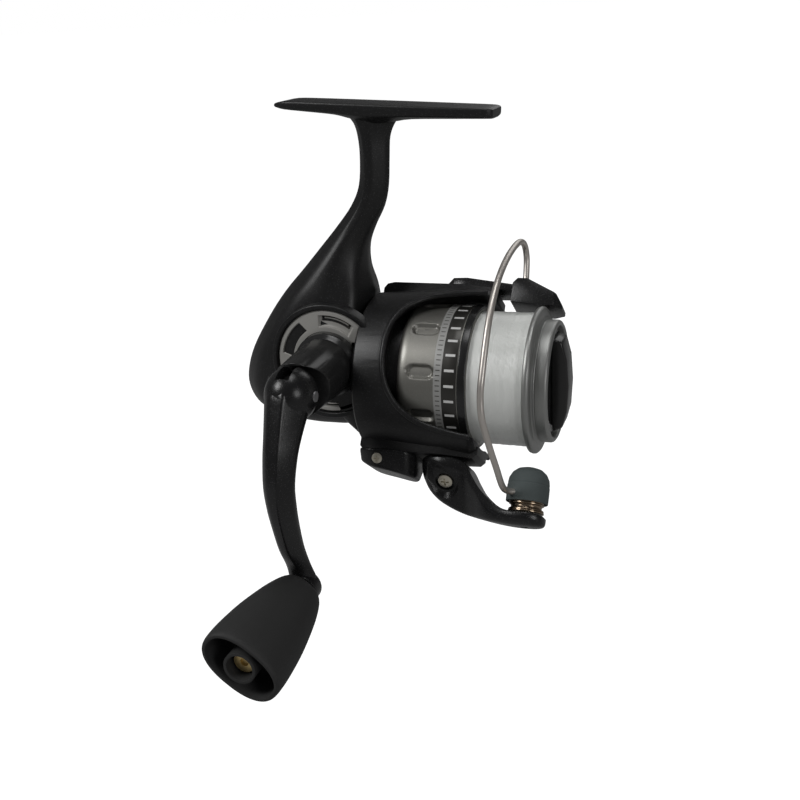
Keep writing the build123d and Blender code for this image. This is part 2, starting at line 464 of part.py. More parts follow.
ARM_SIDE_LINE = [(-46.0, DRIVE_Z + 7.4), (-50.0, DRIVE_Z + 5.6), (-54.0, 6.0), (-58.6, -4.0), (-61.4, -14.5),
                 (-58.4, -28.0),
                 (-54.6, -39.6), (-50.5, -45.4), (-50.5, KNOB_Z), (-45.9, KNOB_Z), (-46.4, -44.0),
                 (-50.6, -28.0),
                 (-53.4, -15.0), (-51.2, -7.0), (-46.0, 1.0)]
ARM_FRONT_LINE = [(-7.2, 16.0), (-6.6, 2.0), (-5.6, -8.0), (-5.2, -24.0), (-4.6, -44.0), (-4.6, -60.0)]
arm_front = ARM_FRONT_LINE + [(-x, z) for x, z in reversed(ARM_FRONT_LINE)]
handle_arm = slab_x(ARM_SIDE_LINE, DRIVE_X - 9, DRIVE_X + 9)
handle_arm &= slab_y([(DRIVE_X + x, z) for x, z in arm_front], -70, -30)
handle_arm += rod_x(KNUCKLE_R, DRIVE_X - KNUCKLE_HALF, DRIVE_X + KNUCKLE_HALF, ELBOW_Y, DRIVE_Z)
handle_arm -= block(DRIVE_X - TONGUE_HALF - GAP, DRIVE_X + TONGUE_HALF + GAP, ELBOW_Y - 5.2, -30,
                    DRIVE_Z - 5.2, DRIVE_Z + 12)
handle_arm -= rod_x(1.5 + RUN, DRIVE_X - 10, DRIVE_X + 10, ELBOW_Y, DRIVE_Z)
handle_arm += rod_y(5.0, -50.5, -45.9, DRIVE_X, KNOB_Z)
handle_arm -= rod_y(2.0, -51, -45, DRIVE_X, KNOB_Z)
save("handle_arm", handle_arm)
spindle = rod_y(2.0, -85.4, -45.9, DRIVE_X, KNOB_Z) + rod_y(3.0, -45.9, -45.5, DRIVE_X, KNOB_Z)
save("knob_spindle", spindle)


def knob_section(y, wide, thick):
    """One oval section of the knob across its axis."""
    return Plane(origin=(DRIVE_X, y, KNOB_Z), x_dir=(1, 0, 0), z_dir=(0, -1, 0)) * Rot(0, 0,
                                                                                       -KNOB_TURN) * Ellipse(wide, thick)


knob = loft([knob_section(y, w, t) for y, w, t in
             ((KNOB_BASE, 6.0, 5.6), (-58.6, 7.8, 6.5), (-73.0, 10.4, 7.6), (-85.0, 11.6, 8.2),
              (KNOB_END, 11.2, 7.6))])
knob -= rod_y(SHAFT_R + RUN, -86.6, -40, DRIVE_X, KNOB_Z)
knob -= rod_y(3.8, -92, -85.4, DRIVE_X, KNOB_Z)
pocket_turn = Pos(DRIVE_X, 0, KNOB_Z) * Rot(0, -KNOB_TURN, 0)
for way in (1, -1):
    knob -= pocket_turn * block(*sorted((way * 5.0, way * 8.6)), -92, -81, -3.4, 3.4)
save("handle_knob", knob)
save("knob_screw", rod_y(3.0, -86.9, -85.4, DRIVE_X, KNOB_Z) - rod_y(1.2, -87, -86.1, DRIVE_X, KNOB_Z))

# ---- anti-reverse lever under the rear of the case ----
lever = rod_y(1.6, LEVER_Y - 3.0, LEVER_Y + 3.0, LEVER_X, LEVER_Z)
lever += rod_y(0.9, LEVER_Y - 5.0, LEVER_Y + 5.0, LEVER_X, LEVER_Z)
lever += slab_y([(-81.0, -13.4), (-86.6, -16.0), (-86.6, -17.4), (-80.4, -16.0)], LEVER_Y - 3.0,
                LEVER_Y + 3.0)
save("anti_reverse_lever", lever)
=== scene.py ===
"""Open-face spinning reel: the finished look of each piece, built around its CAD frame.

Sizes in this file are millimetres in the spool's frame: the origin is on the spool axis at the
rear edge of the spool's lip, +X points forward, +Z up and -Y to the handle. Rotor and bail pieces
are drawn with the rotor's arms along Z and turned to their rest angle when they are placed.
"""

import json
import logging
import math
from collections.abc import Callable, Sequence
from dataclasses import dataclass
from enum import Enum

import bmesh
import bpy
from mathutils import Matrix, Vector


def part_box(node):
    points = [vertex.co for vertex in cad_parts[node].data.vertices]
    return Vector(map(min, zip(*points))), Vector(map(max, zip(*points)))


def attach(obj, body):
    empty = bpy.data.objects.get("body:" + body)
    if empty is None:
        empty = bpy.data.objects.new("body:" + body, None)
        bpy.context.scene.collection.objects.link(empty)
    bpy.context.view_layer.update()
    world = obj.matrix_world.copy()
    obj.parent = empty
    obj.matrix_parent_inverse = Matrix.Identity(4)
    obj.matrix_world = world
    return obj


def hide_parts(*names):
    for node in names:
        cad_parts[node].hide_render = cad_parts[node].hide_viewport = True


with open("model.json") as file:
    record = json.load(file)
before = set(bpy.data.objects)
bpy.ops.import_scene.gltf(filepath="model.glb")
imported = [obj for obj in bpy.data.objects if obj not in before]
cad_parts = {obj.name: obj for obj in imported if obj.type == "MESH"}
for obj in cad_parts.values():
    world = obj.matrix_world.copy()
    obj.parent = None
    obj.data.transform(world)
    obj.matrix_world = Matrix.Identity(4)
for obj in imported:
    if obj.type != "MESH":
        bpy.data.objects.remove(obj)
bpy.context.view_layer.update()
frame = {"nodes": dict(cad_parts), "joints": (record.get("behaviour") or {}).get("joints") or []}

log = logging.getLogger("reel")
MM = 0.001
Point = tuple[float, float, float]
Flat = tuple[float, float]
Rows = tuple[tuple[float, ...], ...]
Obj = bpy.types.Object
Tree = bpy.types.NodeTree
Node = bpy.types.Node
Socket = bpy.types.NodeSocket
WELD = 0.002  # points nearer than this are one point
BOX_FACES = ((0, 1, 3, 2), (4, 6, 7, 5), (0, 4, 5, 1), (2, 3, 7, 6), (0, 2, 6, 4), (1, 5, 7, 3))


class Body(str, Enum):
    """The bodies that redrawn pieces ride on."""

    HOUSING = "housing"
    CRANK = "crank"
    ARM = "folding_arm"
    GRIP = "grip"
    ROTOR = "rotor_head"
    BAIL = "bail"
    ROLLER = "roller"
    SPOOL = "spool_assembly"
    DRAG = "drag_control"


class Place(Enum):
    """Which frame a piece is drawn in."""

    SPOOL = "spool"
    ROTOR = "rotor"


@dataclass(frozen=True)
class ReelFrame:
    """Maps millimetres in the spool's or rotor's frame to the row frame in metres."""

    lip_x: float
    axis_z: float
    rest_angle: float

    @classmethod
    def measured(cls) -> "ReelFrame":
        """Reads the frame from the CAD nodes and the bail's hinge."""
        lip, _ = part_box("spool_lip_ring")
        low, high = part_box("main_shaft")
        axis = next(j["axis"] for j in frame["joints"] if j["name"] == "bail_flip")
        return cls(lip.x / MM, (low.z + high.z) / 2 / MM, math.atan2(-axis[1], axis[2]))

    def at(self, point: Sequence[float], place: Place = Place.SPOOL) -> Vector:
        """Places one point.

        Args:
            point: x, y, z in millimetres.
            place: the frame that the point is given in.

        Returns:
            The point in the row frame, in metres.
        """
        x, y, z = point
        if place is Place.ROTOR:
            c, s = math.cos(self.rest_angle), math.sin(self.rest_angle)
            y, z = y * c - z * s, y * s + z * c
        return Vector((x + self.lip_x, y, z + self.axis_z)) * MM


REEL = ReelFrame.measured()


# ---------------------------------------------------------------- shapes
def smoothstep(low: float, high: float, value: float) -> float:
    """A soft 0 to 1 step between two values."""
    t = min(max((value - low) / (high - low), 0.0), 1.0)
    return t * t * (3 - 2 * t)


def filleted(points: Sequence[Flat], radius: float | Sequence[float], steps: int = 4,
             closed: bool = True) -> list[Flat]:
    """Rounds the corners of a polygon.

    Args:
        points: the corners.
        radius: how far each corner is cut back, one value or one for each corner.
        steps: points on each corner.
        closed: whether the last corner joins the first.

    Returns:
        The rounded outline, with the same number of points at every corner.
    """
    out: list[Flat] = []
    count = len(points)
    for i, here in enumerate(points):
        cut = radius[i] if isinstance(radius, (list, tuple)) else radius
        if not closed and i in (0, count - 1):
            out.append(tuple(here))
            continue
        before, after = Vector(points[i - 1]), Vector(points[(i + 1) % count])
        p = Vector(here)
        a = (before - p).normalized() * min(cut, (before - p).length * 0.48)
        b = (after - p).normalized() * min(cut, (after - p).length * 0.48)
        for k in range(steps + 1):
            t = k / steps
            q = (p + a) * (1 - t) ** 2 + p * 2 * t * (1 - t) + (p + b) * t * t
            out.append(tuple(q))
    return out


def smooth_rows(rows: Sequence[Sequence[float]], per_span: int) -> list[list[float]]:
    """Runs a smooth curve through rows of numbers, with points added between each pair."""
    out = []
    for i in range(len(rows) - 1):
        p1, p2 = rows[i], rows[i + 1]
        p0 = rows[i - 1] if i else p1
        p3 = rows[i + 2] if i + 2 < len(rows) else p2
        for k in range(per_span):
            t = k / per_span
            out.append([0.5 * (2 * b + (c - a) * t + (2 * a - 5 * b + 4 * c - d) * t * t
                               + (3 * b - a - 3 * c + d) * t ** 3)
                        for a, b, c, d in zip(p0, p1, p2, p3)])
    out.append(list(rows[-1]))
    return out


def linked(name: str, mesh: bpy.types.Mesh) -> Obj:
    """Puts a mesh in the scene as a new object."""
    obj = bpy.data.objects.new(name, mesh)
    bpy.context.scene.collection.objects.link(obj)
    return obj


def mesh_of(name: str, points: Sequence[Point], faces: Sequence[Sequence[int]],
            place: Place = Place.SPOOL) -> Obj:
    """Makes an object from points in millimetres, closed up and facing outwards."""
    mesh = bpy.data.meshes.new(name)
    mesh.from_pydata([REEL.at(p, place) for p in points], [], faces)
    obj = linked(name, mesh)
    work = bmesh.new()
    work.from_mesh(mesh)
    bmesh.ops.remove_doubles(work, verts=work.verts, dist=WELD * MM)
    bmesh.ops.recalc_face_normals(work, faces=work.faces)
    work.to_mesh(mesh)
    work.free()
    return obj


def loft(name: str, rings: Sequence[Sequence[Point]], place: Place = Place.SPOOL) -> Obj:
    """Skins closed rings of equal length, and caps both ends."""
    count = len(rings[0])
    points = [p for ring in rings for p in ring]
    faces: list[Sequence[int]] = []
    for r in range(len(rings) - 1):
        a, b = r * count, (r + 1) * count
        faces += [(a + i, a + (i + 1) % count, b + (i + 1) % count, b + i) for i in range(count)]
    faces.append(list(range(count)))
    faces.append([(len(rings) - 1) * count + i for i in reversed(range(count))])
    return mesh_of(name, points, faces, place)


def turned(name: str, columns: Sequence[Sequence[Point]], place: Place = Place.SPOOL) -> Obj:
    """Skins the copies of a closed profile that go once round an axis."""
    n, count = len(columns[0]), len(columns)
    faces = [(s * n + i, s * n + (i + 1) % n, (s + 1) % count * n + (i + 1) % n, (s + 1) % count * n + i)
             for s in range(count) for i in range(n)]
    return mesh_of(name, [p for column in columns for p in column], faces, place)


def lathe(name: str, profile: Sequence[Flat], segments: int = 128,
          radius: Callable[[float, float, float], float] | None = None) -> Obj:
    """Turns a closed (x, radius) profile about the spool axis.

    Args:
        name: the object's name.
        profile: the closed outline.
        segments: steps round the axis.
        radius: gives the radius at (x, radius, angle), for shapes that aren't quite round.

    Returns:
        The new object.
    """
    columns = []
    for s in range(segments):
        angle = 2 * math.pi * s / segments
        radii = [(x, radius(x, r, angle) if radius else r) for x, r in profile]
        columns.append([(x, r * math.cos(angle), r * math.sin(angle)) for x, r in radii])
    return turned(name, columns)


def lathe_about(name: str, profile: Sequence[Flat], origin: Flat, upright: bool, place: Place,
                segments: int = 64) -> Obj:
    """Turns a closed (height, radius) profile about a line.

    Args:
        name: the object's name.
        profile: the closed outline.
        origin: where the line crosses the plane that it is square to.
        upright: whether the line runs along Z, at an x and y, or along Y, at an x and z.
        place: the frame that it is drawn in.
        segments: steps round the line.

    Returns:
        The new object.
    """
    columns = []
    for s in range(segments):
        u, v = math.cos(2 * math.pi * s / segments), math.sin(2 * math.pi * s / segments)
        round_line = [(origin[0] + r * u, origin[1] + r * v, h) for h, r in profile]
        columns.append(round_line if upright else [(x, h, w) for x, w, h in round_line])
    return turned(name, columns, place)


def tube(name: str, path: Sequence[Point], radius: float, place: Place, sides: int = 16) -> Obj:
    """A round bar along a path."""
    spots = [Vector(p) for p in path]
    rings = []
    normal = Vector((1.0, 0.0, 0.0))
    for i, p in enumerate(spots):
        ahead = (spots[min(i + 1, len(spots) - 1)] - spots[max(i - 1, 0)]).normalized()
        normal = (normal - ahead * normal.dot(ahead)).normalized()
        side = ahead.cross(normal)
        rings.append([tuple(p + (normal * math.cos(a) + side * math.sin(a)) * radius)
                      for a in (2 * math.pi * k / sides for k in range(sides))])
    return loft(name, rings, place)


def cylinder(name: str, radius: float, start: Point, end: Point, place: Place = Place.SPOOL,
             sides: int = 64) -> Obj:
    """A plain round bar between two points."""
    return tube(name, [start, end], radius, place, sides)


def applied(obj: Obj) -> Obj:
    """Turns an object's modifiers into its mesh."""
    bpy.context.view_layer.update()
    graph = bpy.context.evaluated_depsgraph_get()
    mesh = bpy.data.meshes.new_from_object(obj.evaluated_get(graph), depsgraph=graph)
    obj.modifiers.clear()
    obj.data = mesh
    return obj


def combined(obj: Obj, other: Obj, operation: str) -> Obj:
    """Joins (UNION), cuts (DIFFERENCE) or keeps the overlap (INTERSECT) of two closed shapes."""
    cut = obj.modifiers.new("cut", "BOOLEAN")
    cut.operation = operation
    cut.solver = "EXACT"
    cut.object = other
    applied(obj)
    bpy.data.objects.remove(other)
    return obj


def bevelled(obj: Obj, width: float, angle: float = 30.0, segments: int = 3) -> Obj:
    """Rounds an object's sharp edges by a width in millimetres."""
    edge = obj.modifiers.new("edge", "BEVEL")
    edge.width = width * MM
    edge.segments = segments
    edge.limit_method = "ANGLE"
    edge.angle_limit = math.radians(angle)
    edge.harden_normals = False
    edge.miter_outer = "MITER_ARC"
    return applied(obj)


def refined(node: str, name: str, width: float, angle: float = 30.0) -> Obj:
    """Copies a CAD node's mesh, closes it up and rounds its edges.

    Args:
        node: the CAD node.
        name: the new object's name.
        width: the rounding, in millimetres; 0 leaves the edges.
        angle: edges that turn more than this are rounded.

    Returns:
        The new object.
    """
    mesh = frame["nodes"][node].data.copy()
    obj = bpy.data.objects.new(name, mesh)
    bpy.context.scene.collection.objects.link(obj)
    work = bmesh.new()
    work.from_mesh(mesh)
    bmesh.ops.remove_doubles(work, verts=work.verts, dist=0.001 * MM)
    bmesh.ops.dissolve_limit(work, angle_limit=math.radians(0.6), verts=work.verts, edges=work.edges)
    work.to_mesh(mesh)
    work.free()
    return bevelled(obj, width, angle) if width else obj


# ---------------------------------------------------------------- finishes
FLECK_RADIUS = 0.42  # share of a cell
BRUSH_STRETCH = (1.0, 0.03, 0.03)
BUMP_DEPTH = 0.0001
COAT_ROUGHNESS = 0.1
MIX_A, MIX_B, MIX_RESULT = 6, 7, 2  # the colour sockets of a Mix node


def add_node(tree: Tree, kind: str, inputs: dict[str | int, object] | None = None, **settings: object) -> Node:
    """Adds a node.

    Args:
        tree: the tree that it goes in.
        kind: the node's type.
        inputs: by name or number, a value, or the output that feeds it.
        settings: the node's own attributes.

    Returns:
        The node.
    """
    node = tree.nodes.new(kind)
    for key, value in settings.items():
        setattr(node, key, value)
    for key, value in (inputs or {}).items():
        if isinstance(value, Socket):
            tree.links.new(value, node.inputs[key])
        else:
            node.inputs[key].default_value = value
    return node


def calculated(tree: Tree, operation: str, a: object, b: object = 0.0) -> Socket:
    """The result of one Math node; each input is a number or an output."""
    return add_node(tree, "ShaderNodeMath", {0: a, 1: b}, operation=operation).outputs[0]


def start_tree(name: str, kind: str, inputs: dict[str, object], outputs: dict[str, str]) -> tuple[Tree, Node]:
    """Starts a node group.

    Args:
        name: its name.
        kind: its type.
        inputs: by label, the socket's type, or the value that a number starts at.
        outputs: by label, the socket's type.

    Returns:
        The group and its input node.
    """
    tree = bpy.data.node_groups.new(name, kind)
    for label, value in inputs.items():
        typed = value if isinstance(value, str) else "Float"
        item = tree.interface.new_socket(label, in_out="INPUT", socket_type="NodeSocket" + typed)
        if not isinstance(value, str):
            item.default_value = value
    for label, typed in outputs.items():
        tree.interface.new_socket(label, in_out="OUTPUT", socket_type="NodeSocket" + typed)
    return tree, tree.nodes.new("NodeGroupInput")


class Groups:
    """The effects that several finishes share, each built once."""

    _made: dict[str, Tree] = {}

    @classmethod
    def get(cls, name: str) -> Tree:
        """Returns the group of that name, built on first use."""
        if name not in cls._made:
            cls._made[name] = {"grain": cls._grain, "handling": cls._handling, "brushing": cls._brushing}[name]()
        return cls._made[name]

    @staticmethod
    def _grain() -> Tree:
        """Fine paint grain: a height, and a mask of bright flecks."""
        group, ins = start_tree("grain", "ShaderNodeTree", {"Vector": "Vector", "Scale": 3000.0, "Fleck Share": 0.2},
                                {"Height": "Float", "Flecks": "Float"})
        spots = {"Vector": ins.outputs["Vector"], "Scale": ins.outputs["Scale"]}
        noise = add_node(group, "ShaderNodeTexNoise", {"Detail": 1.0, **spots})
        cells = add_node(group, "ShaderNodeTexVoronoi", spots)
        split = add_node(group, "ShaderNodeSeparateColor", {0: cells.outputs["Color"]})
        pick = calculated(group, "LESS_THAN", split.outputs[0], ins.outputs["Fleck Share"])
        near = calculated(group, "LESS_THAN", cells.outputs["Distance"], FLECK_RADIUS)
        add_node(group, "NodeGroupOutput", {"Height": noise.outputs[0],
                                            "Flecks": calculated(group, "MULTIPLY", pick, near)})
        return group

    @staticmethod
    def _handling() -> Tree:
        """Soft uneven gloss from handling."""
        group, ins = start_tree("handling", "ShaderNodeTree", {"Vector": "Vector", "Roughness": 0.4, "Spread": 0.1},
                                {"Roughness": "Float"})
        noise = add_node(group, "ShaderNodeTexNoise", {"Scale": 90.0, "Detail": 4.0, "Vector": ins.outputs["Vector"]})
        centred = calculated(group, "SUBTRACT", noise.outputs[0], 0.5)
        spread = calculated(group, "MULTIPLY", centred, ins.outputs["Spread"])
        add_node(group, "NodeGroupOutput",
                 {"Roughness": calculated(group, "ADD", spread, ins.outputs["Roughness"])})
        return group

    @staticmethod
    def _brushing() -> Tree:
        """The height of fine turning marks round X."""
        group, ins = start_tree("brushing", "ShaderNodeTree", {"Vector": "Vector", "Scale": 4000.0},
                                {"Height": "Float"})
        stretch = add_node(group, "ShaderNodeMapping", {"Scale": BRUSH_STRETCH, "Vector": ins.outputs["Vector"]})
        noise = add_node(group, "ShaderNodeTexNoise", {"Detail": 2.0, "Vector": stretch.outputs[0],
                                                       "Scale": ins.outputs["Scale"]})
        add_node(group, "NodeGroupOutput", {"Height": noise.outputs[0]})
        return group


class Texture(Enum):
    """The surface texture of a finish."""

    PLAIN = "plain"
    GRAIN = "grain"
    BRUSHED = "brushed"


@dataclass(frozen=True)
class Finish:
    """One finish, and the record's material slot that it stands for."""

    name: str
    slot: str
    colour: tuple[float, float, float]
    roughness: float
    metallic: float = 0.0
    coat: float = 0.0
    texture: Texture = Texture.PLAIN
    scale: float = 3000.0
    depth: float = 0.1
    flecks: float = 0.0
    fleck_colour: tuple[float, float, float] = (0.12, 0.12, 0.12)
    spread: float = 0.1
    specular: float = 0.5

    def material(self) -> bpy.types.Material:
        """Builds the material, once."""
        if self.name in bpy.data.materials:
            return bpy.data.materials[self.name]
        mat = bpy.data.materials.new(self.name)
        mat.use_nodes = True
        tree = mat.node_tree
        shader = tree.nodes["Principled BSDF"]
        for label, value in {"Base Color": (*self.colour, 1), "Metallic": self.metallic, "Coat Weight": self.coat,
                             "Specular IOR Level": self.specular}.items():
            shader.inputs[label].default_value = value
        shader.inputs["Coat Roughness"].default_value = COAT_ROUGHNESS
        spots = tree.nodes.new("ShaderNodeTexCoord").outputs["Object"]
        gloss = add_node(tree, "ShaderNodeGroup", node_tree=Groups.get("handling"))
        gloss.inputs["Roughness"].default_value = self.roughness
        gloss.inputs["Spread"].default_value = self.spread
        tree.links.new(spots, gloss.inputs["Vector"])
        tree.links.new(gloss.outputs[0], shader.inputs["Roughness"])
        if self.texture is not Texture.PLAIN:
            self._textured(tree, shader, spots)
        return mat

    def _textured(self, tree: Tree, shader: Node, spots: Socket) -> None:
        """Adds the grain or the turning marks to a material."""
        group = Groups.get("grain" if self.texture is Texture.GRAIN else "brushing")
        effect = add_node(tree, "ShaderNodeGroup", node_tree=group)
        effect.inputs["Scale"].default_value = self.scale
        tree.links.new(spots, effect.inputs["Vector"])
        bump = add_node(tree, "ShaderNodeBump", {"Strength": self.depth, "Distance": BUMP_DEPTH,
                                                 "Height": effect.outputs["Height"]})
        tree.links.new(bump.outputs[0], shader.inputs["Normal"])
        if self.flecks:
            effect.inputs["Fleck Share"].default_value = self.flecks
            mix = add_node(tree, "ShaderNodeMix", data_type="RGBA")
            mix.inputs[MIX_A].default_value = (*self.colour, 1)
            mix.inputs[MIX_B].default_value = (*self.fleck_colour, 1)
            tree.links.new(effect.outputs["Flecks"], mix.inputs[0])
            tree.links.new(mix.outputs[MIX_RESULT], shader.inputs["Base Color"])


def _grainy(name: str, slot: str, value: float, roughness: float) -> Finish:
    """A satin black with fine grain."""
    return Finish(name, slot, (value, value, value * 1.05), roughness, specular=0.4, texture=Texture.GRAIN,
                  scale=4200.0, depth=0.3, flecks=0.1, fleck_colour=(0.045, 0.045, 0.047))


CASE_BLACK = _grainy("satin_case_black", "case_black", 0.0065, 0.4)
LEVER_BLACK = _grainy("lever_black", "case_black", 0.009, 0.26)
ARM_BLACK = _grainy("arm_black", "gloss_black", 0.009, 0.25)
GLOSS_BLACK = Finish("gloss_black", "gloss_black", (0.007, 0.007, 0.008), 0.22, coat=0.6)
KNOB_BLACK = Finish("knob_black", "knob_black", (0.003, 0.003, 0.003), 0.52, spread=0.12, specular=0.25)
TRIM_BLACK = Finish("trim_black", "trim_black", (0.01, 0.01, 0.01), 0.34)
PLATE_SILVER = Finish("plate_silver", "plate_silver", (0.34, 0.33, 0.31), 0.5, metallic=0.75,
                      texture=Texture.GRAIN, scale=2200.0, depth=0.3, flecks=0.22, fleck_colour=(0.62, 0.6, 0.57))
# A darker copy of the plate's silver for the slots' floors: painted shade for the dark inside the deep slots.
PLATE_SLOT_SHADE = Finish("plate_slot_painted_shade", "plate_silver", (0.07, 0.066, 0.06), 0.5, metallic=0.5)
DRAG_SILVER = Finish("drag_silver", "drag_silver", (0.5, 0.5, 0.5), 0.3, metallic=1.0)
SKIRT_SILVER = Finish("skirt_silver", "spool_metallic", (0.25, 0.245, 0.225), 0.46, metallic=0.85,
                      texture=Texture.GRAIN, scale=5000.0, depth=0.12, flecks=0.2, fleck_colour=(0.3, 0.29, 0.27),
                      coat=0.2)
SKIRT_DARK = Finish("skirt_dark_band", "spool_metallic", (0.05, 0.048, 0.044), 0.36, metallic=0.7, coat=0.2)
LABEL_GREY = Finish("label_grey", "spool_metallic", (0.36, 0.36, 0.35), 0.4, metallic=0.3)
TICK_WHITE = Finish("tick_white", "spool_metallic", (0.62, 0.62, 0.61), 0.45)
LIP_GREY = Finish("lip_grey", "lip_metallic", (0.33, 0.335, 0.325), 0.44, metallic=0.8,
                  texture=Texture.GRAIN, scale=5000.0, depth=0.1, flecks=0.15, fleck_colour=(0.32, 0.32, 0.32))
LINE_CLEAR = Finish("line_pearl", "line_clear", (0.8, 0.815, 0.79), 0.24, texture=Texture.BRUSHED, scale=5200.0,
                    depth=0.5, coat=0.35, specular=0.8)
WIRE_STEEL = Finish("wire_steel", "wire_steel", (0.3, 0.27, 0.23), 0.22, metallic=1.0, spread=0.05)
BRIGHT_STEEL = Finish("bright_steel", "bright_steel", (0.56, 0.56, 0.57), 0.24, metallic=1.0)
SCREW_NICKEL = Finish("screw_nickel", "screw_nickel", (0.44, 0.42, 0.39), 0.28, metallic=1.0)
ROLLER_BRONZE = Finish("roller_bronze", "gear_brass", (0.3, 0.235, 0.17), 0.22, metallic=1.0)
GEAR_BRASS = Finish("gear_brass", "gear_brass", (0.5, 0.34, 0.14), 0.3, metallic=1.0)
GEAR_ZINC = Finish("gear_zinc", "gear_zinc", (0.36, 0.37, 0.38), 0.4, metallic=1.0)
CAP_RUBBER = Finish("cap_rubber", "cap_rubber", (0.012, 0.017, 0.016), 0.36, specular=0.6)
FELT = Finish("felt", "felt", (0.55, 0.5, 0.42), 0.95)
NYLON = Finish("nylon", "nylon", (0.62, 0.61, 0.58), 0.5)


def keep(obj: Obj, finish: Finish, body: Body, *nodes: str, shade: float | None = 32.0,
         extra: Sequence[Finish] = ()) -> Obj:
    """Dresses a finished piece and ties it to the frame.

    Args:
        obj: the piece.
        finish: its finish.
        body: the body it rides on.
        nodes: the CAD nodes it stands for.
        shade: edges over this angle stay sharp; None leaves the shading.
        extra: more finishes, for faces of material index 1 and up.

    Returns:
        The piece.
    """
    if not extra:
        obj.data.materials.clear()
    obj.data.materials.append(finish.material())
    for more in extra:
        obj.data.materials.append(more.material())
    if shade is not None:
        obj.data.shade_smooth()
        obj.data.set_sharp_from_angle(angle=math.radians(shade))
    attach(obj, body.value)
    if nodes:
        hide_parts(*nodes)
    log.info("%s: %d faces on %s", obj.name, len(obj.data.polygons), body.value)
    return obj


# ---------------------------------------------------------------- repeated pieces
HEAD_OUT = 0.8  # share of a head's height from its middle to the point given


@dataclass(frozen=True)
class ScrewKind:
    """One kind of cross-head screw, in millimetres."""

    radius: float
    head: float
    shank: float
    length: float
    shade: float = 32.0


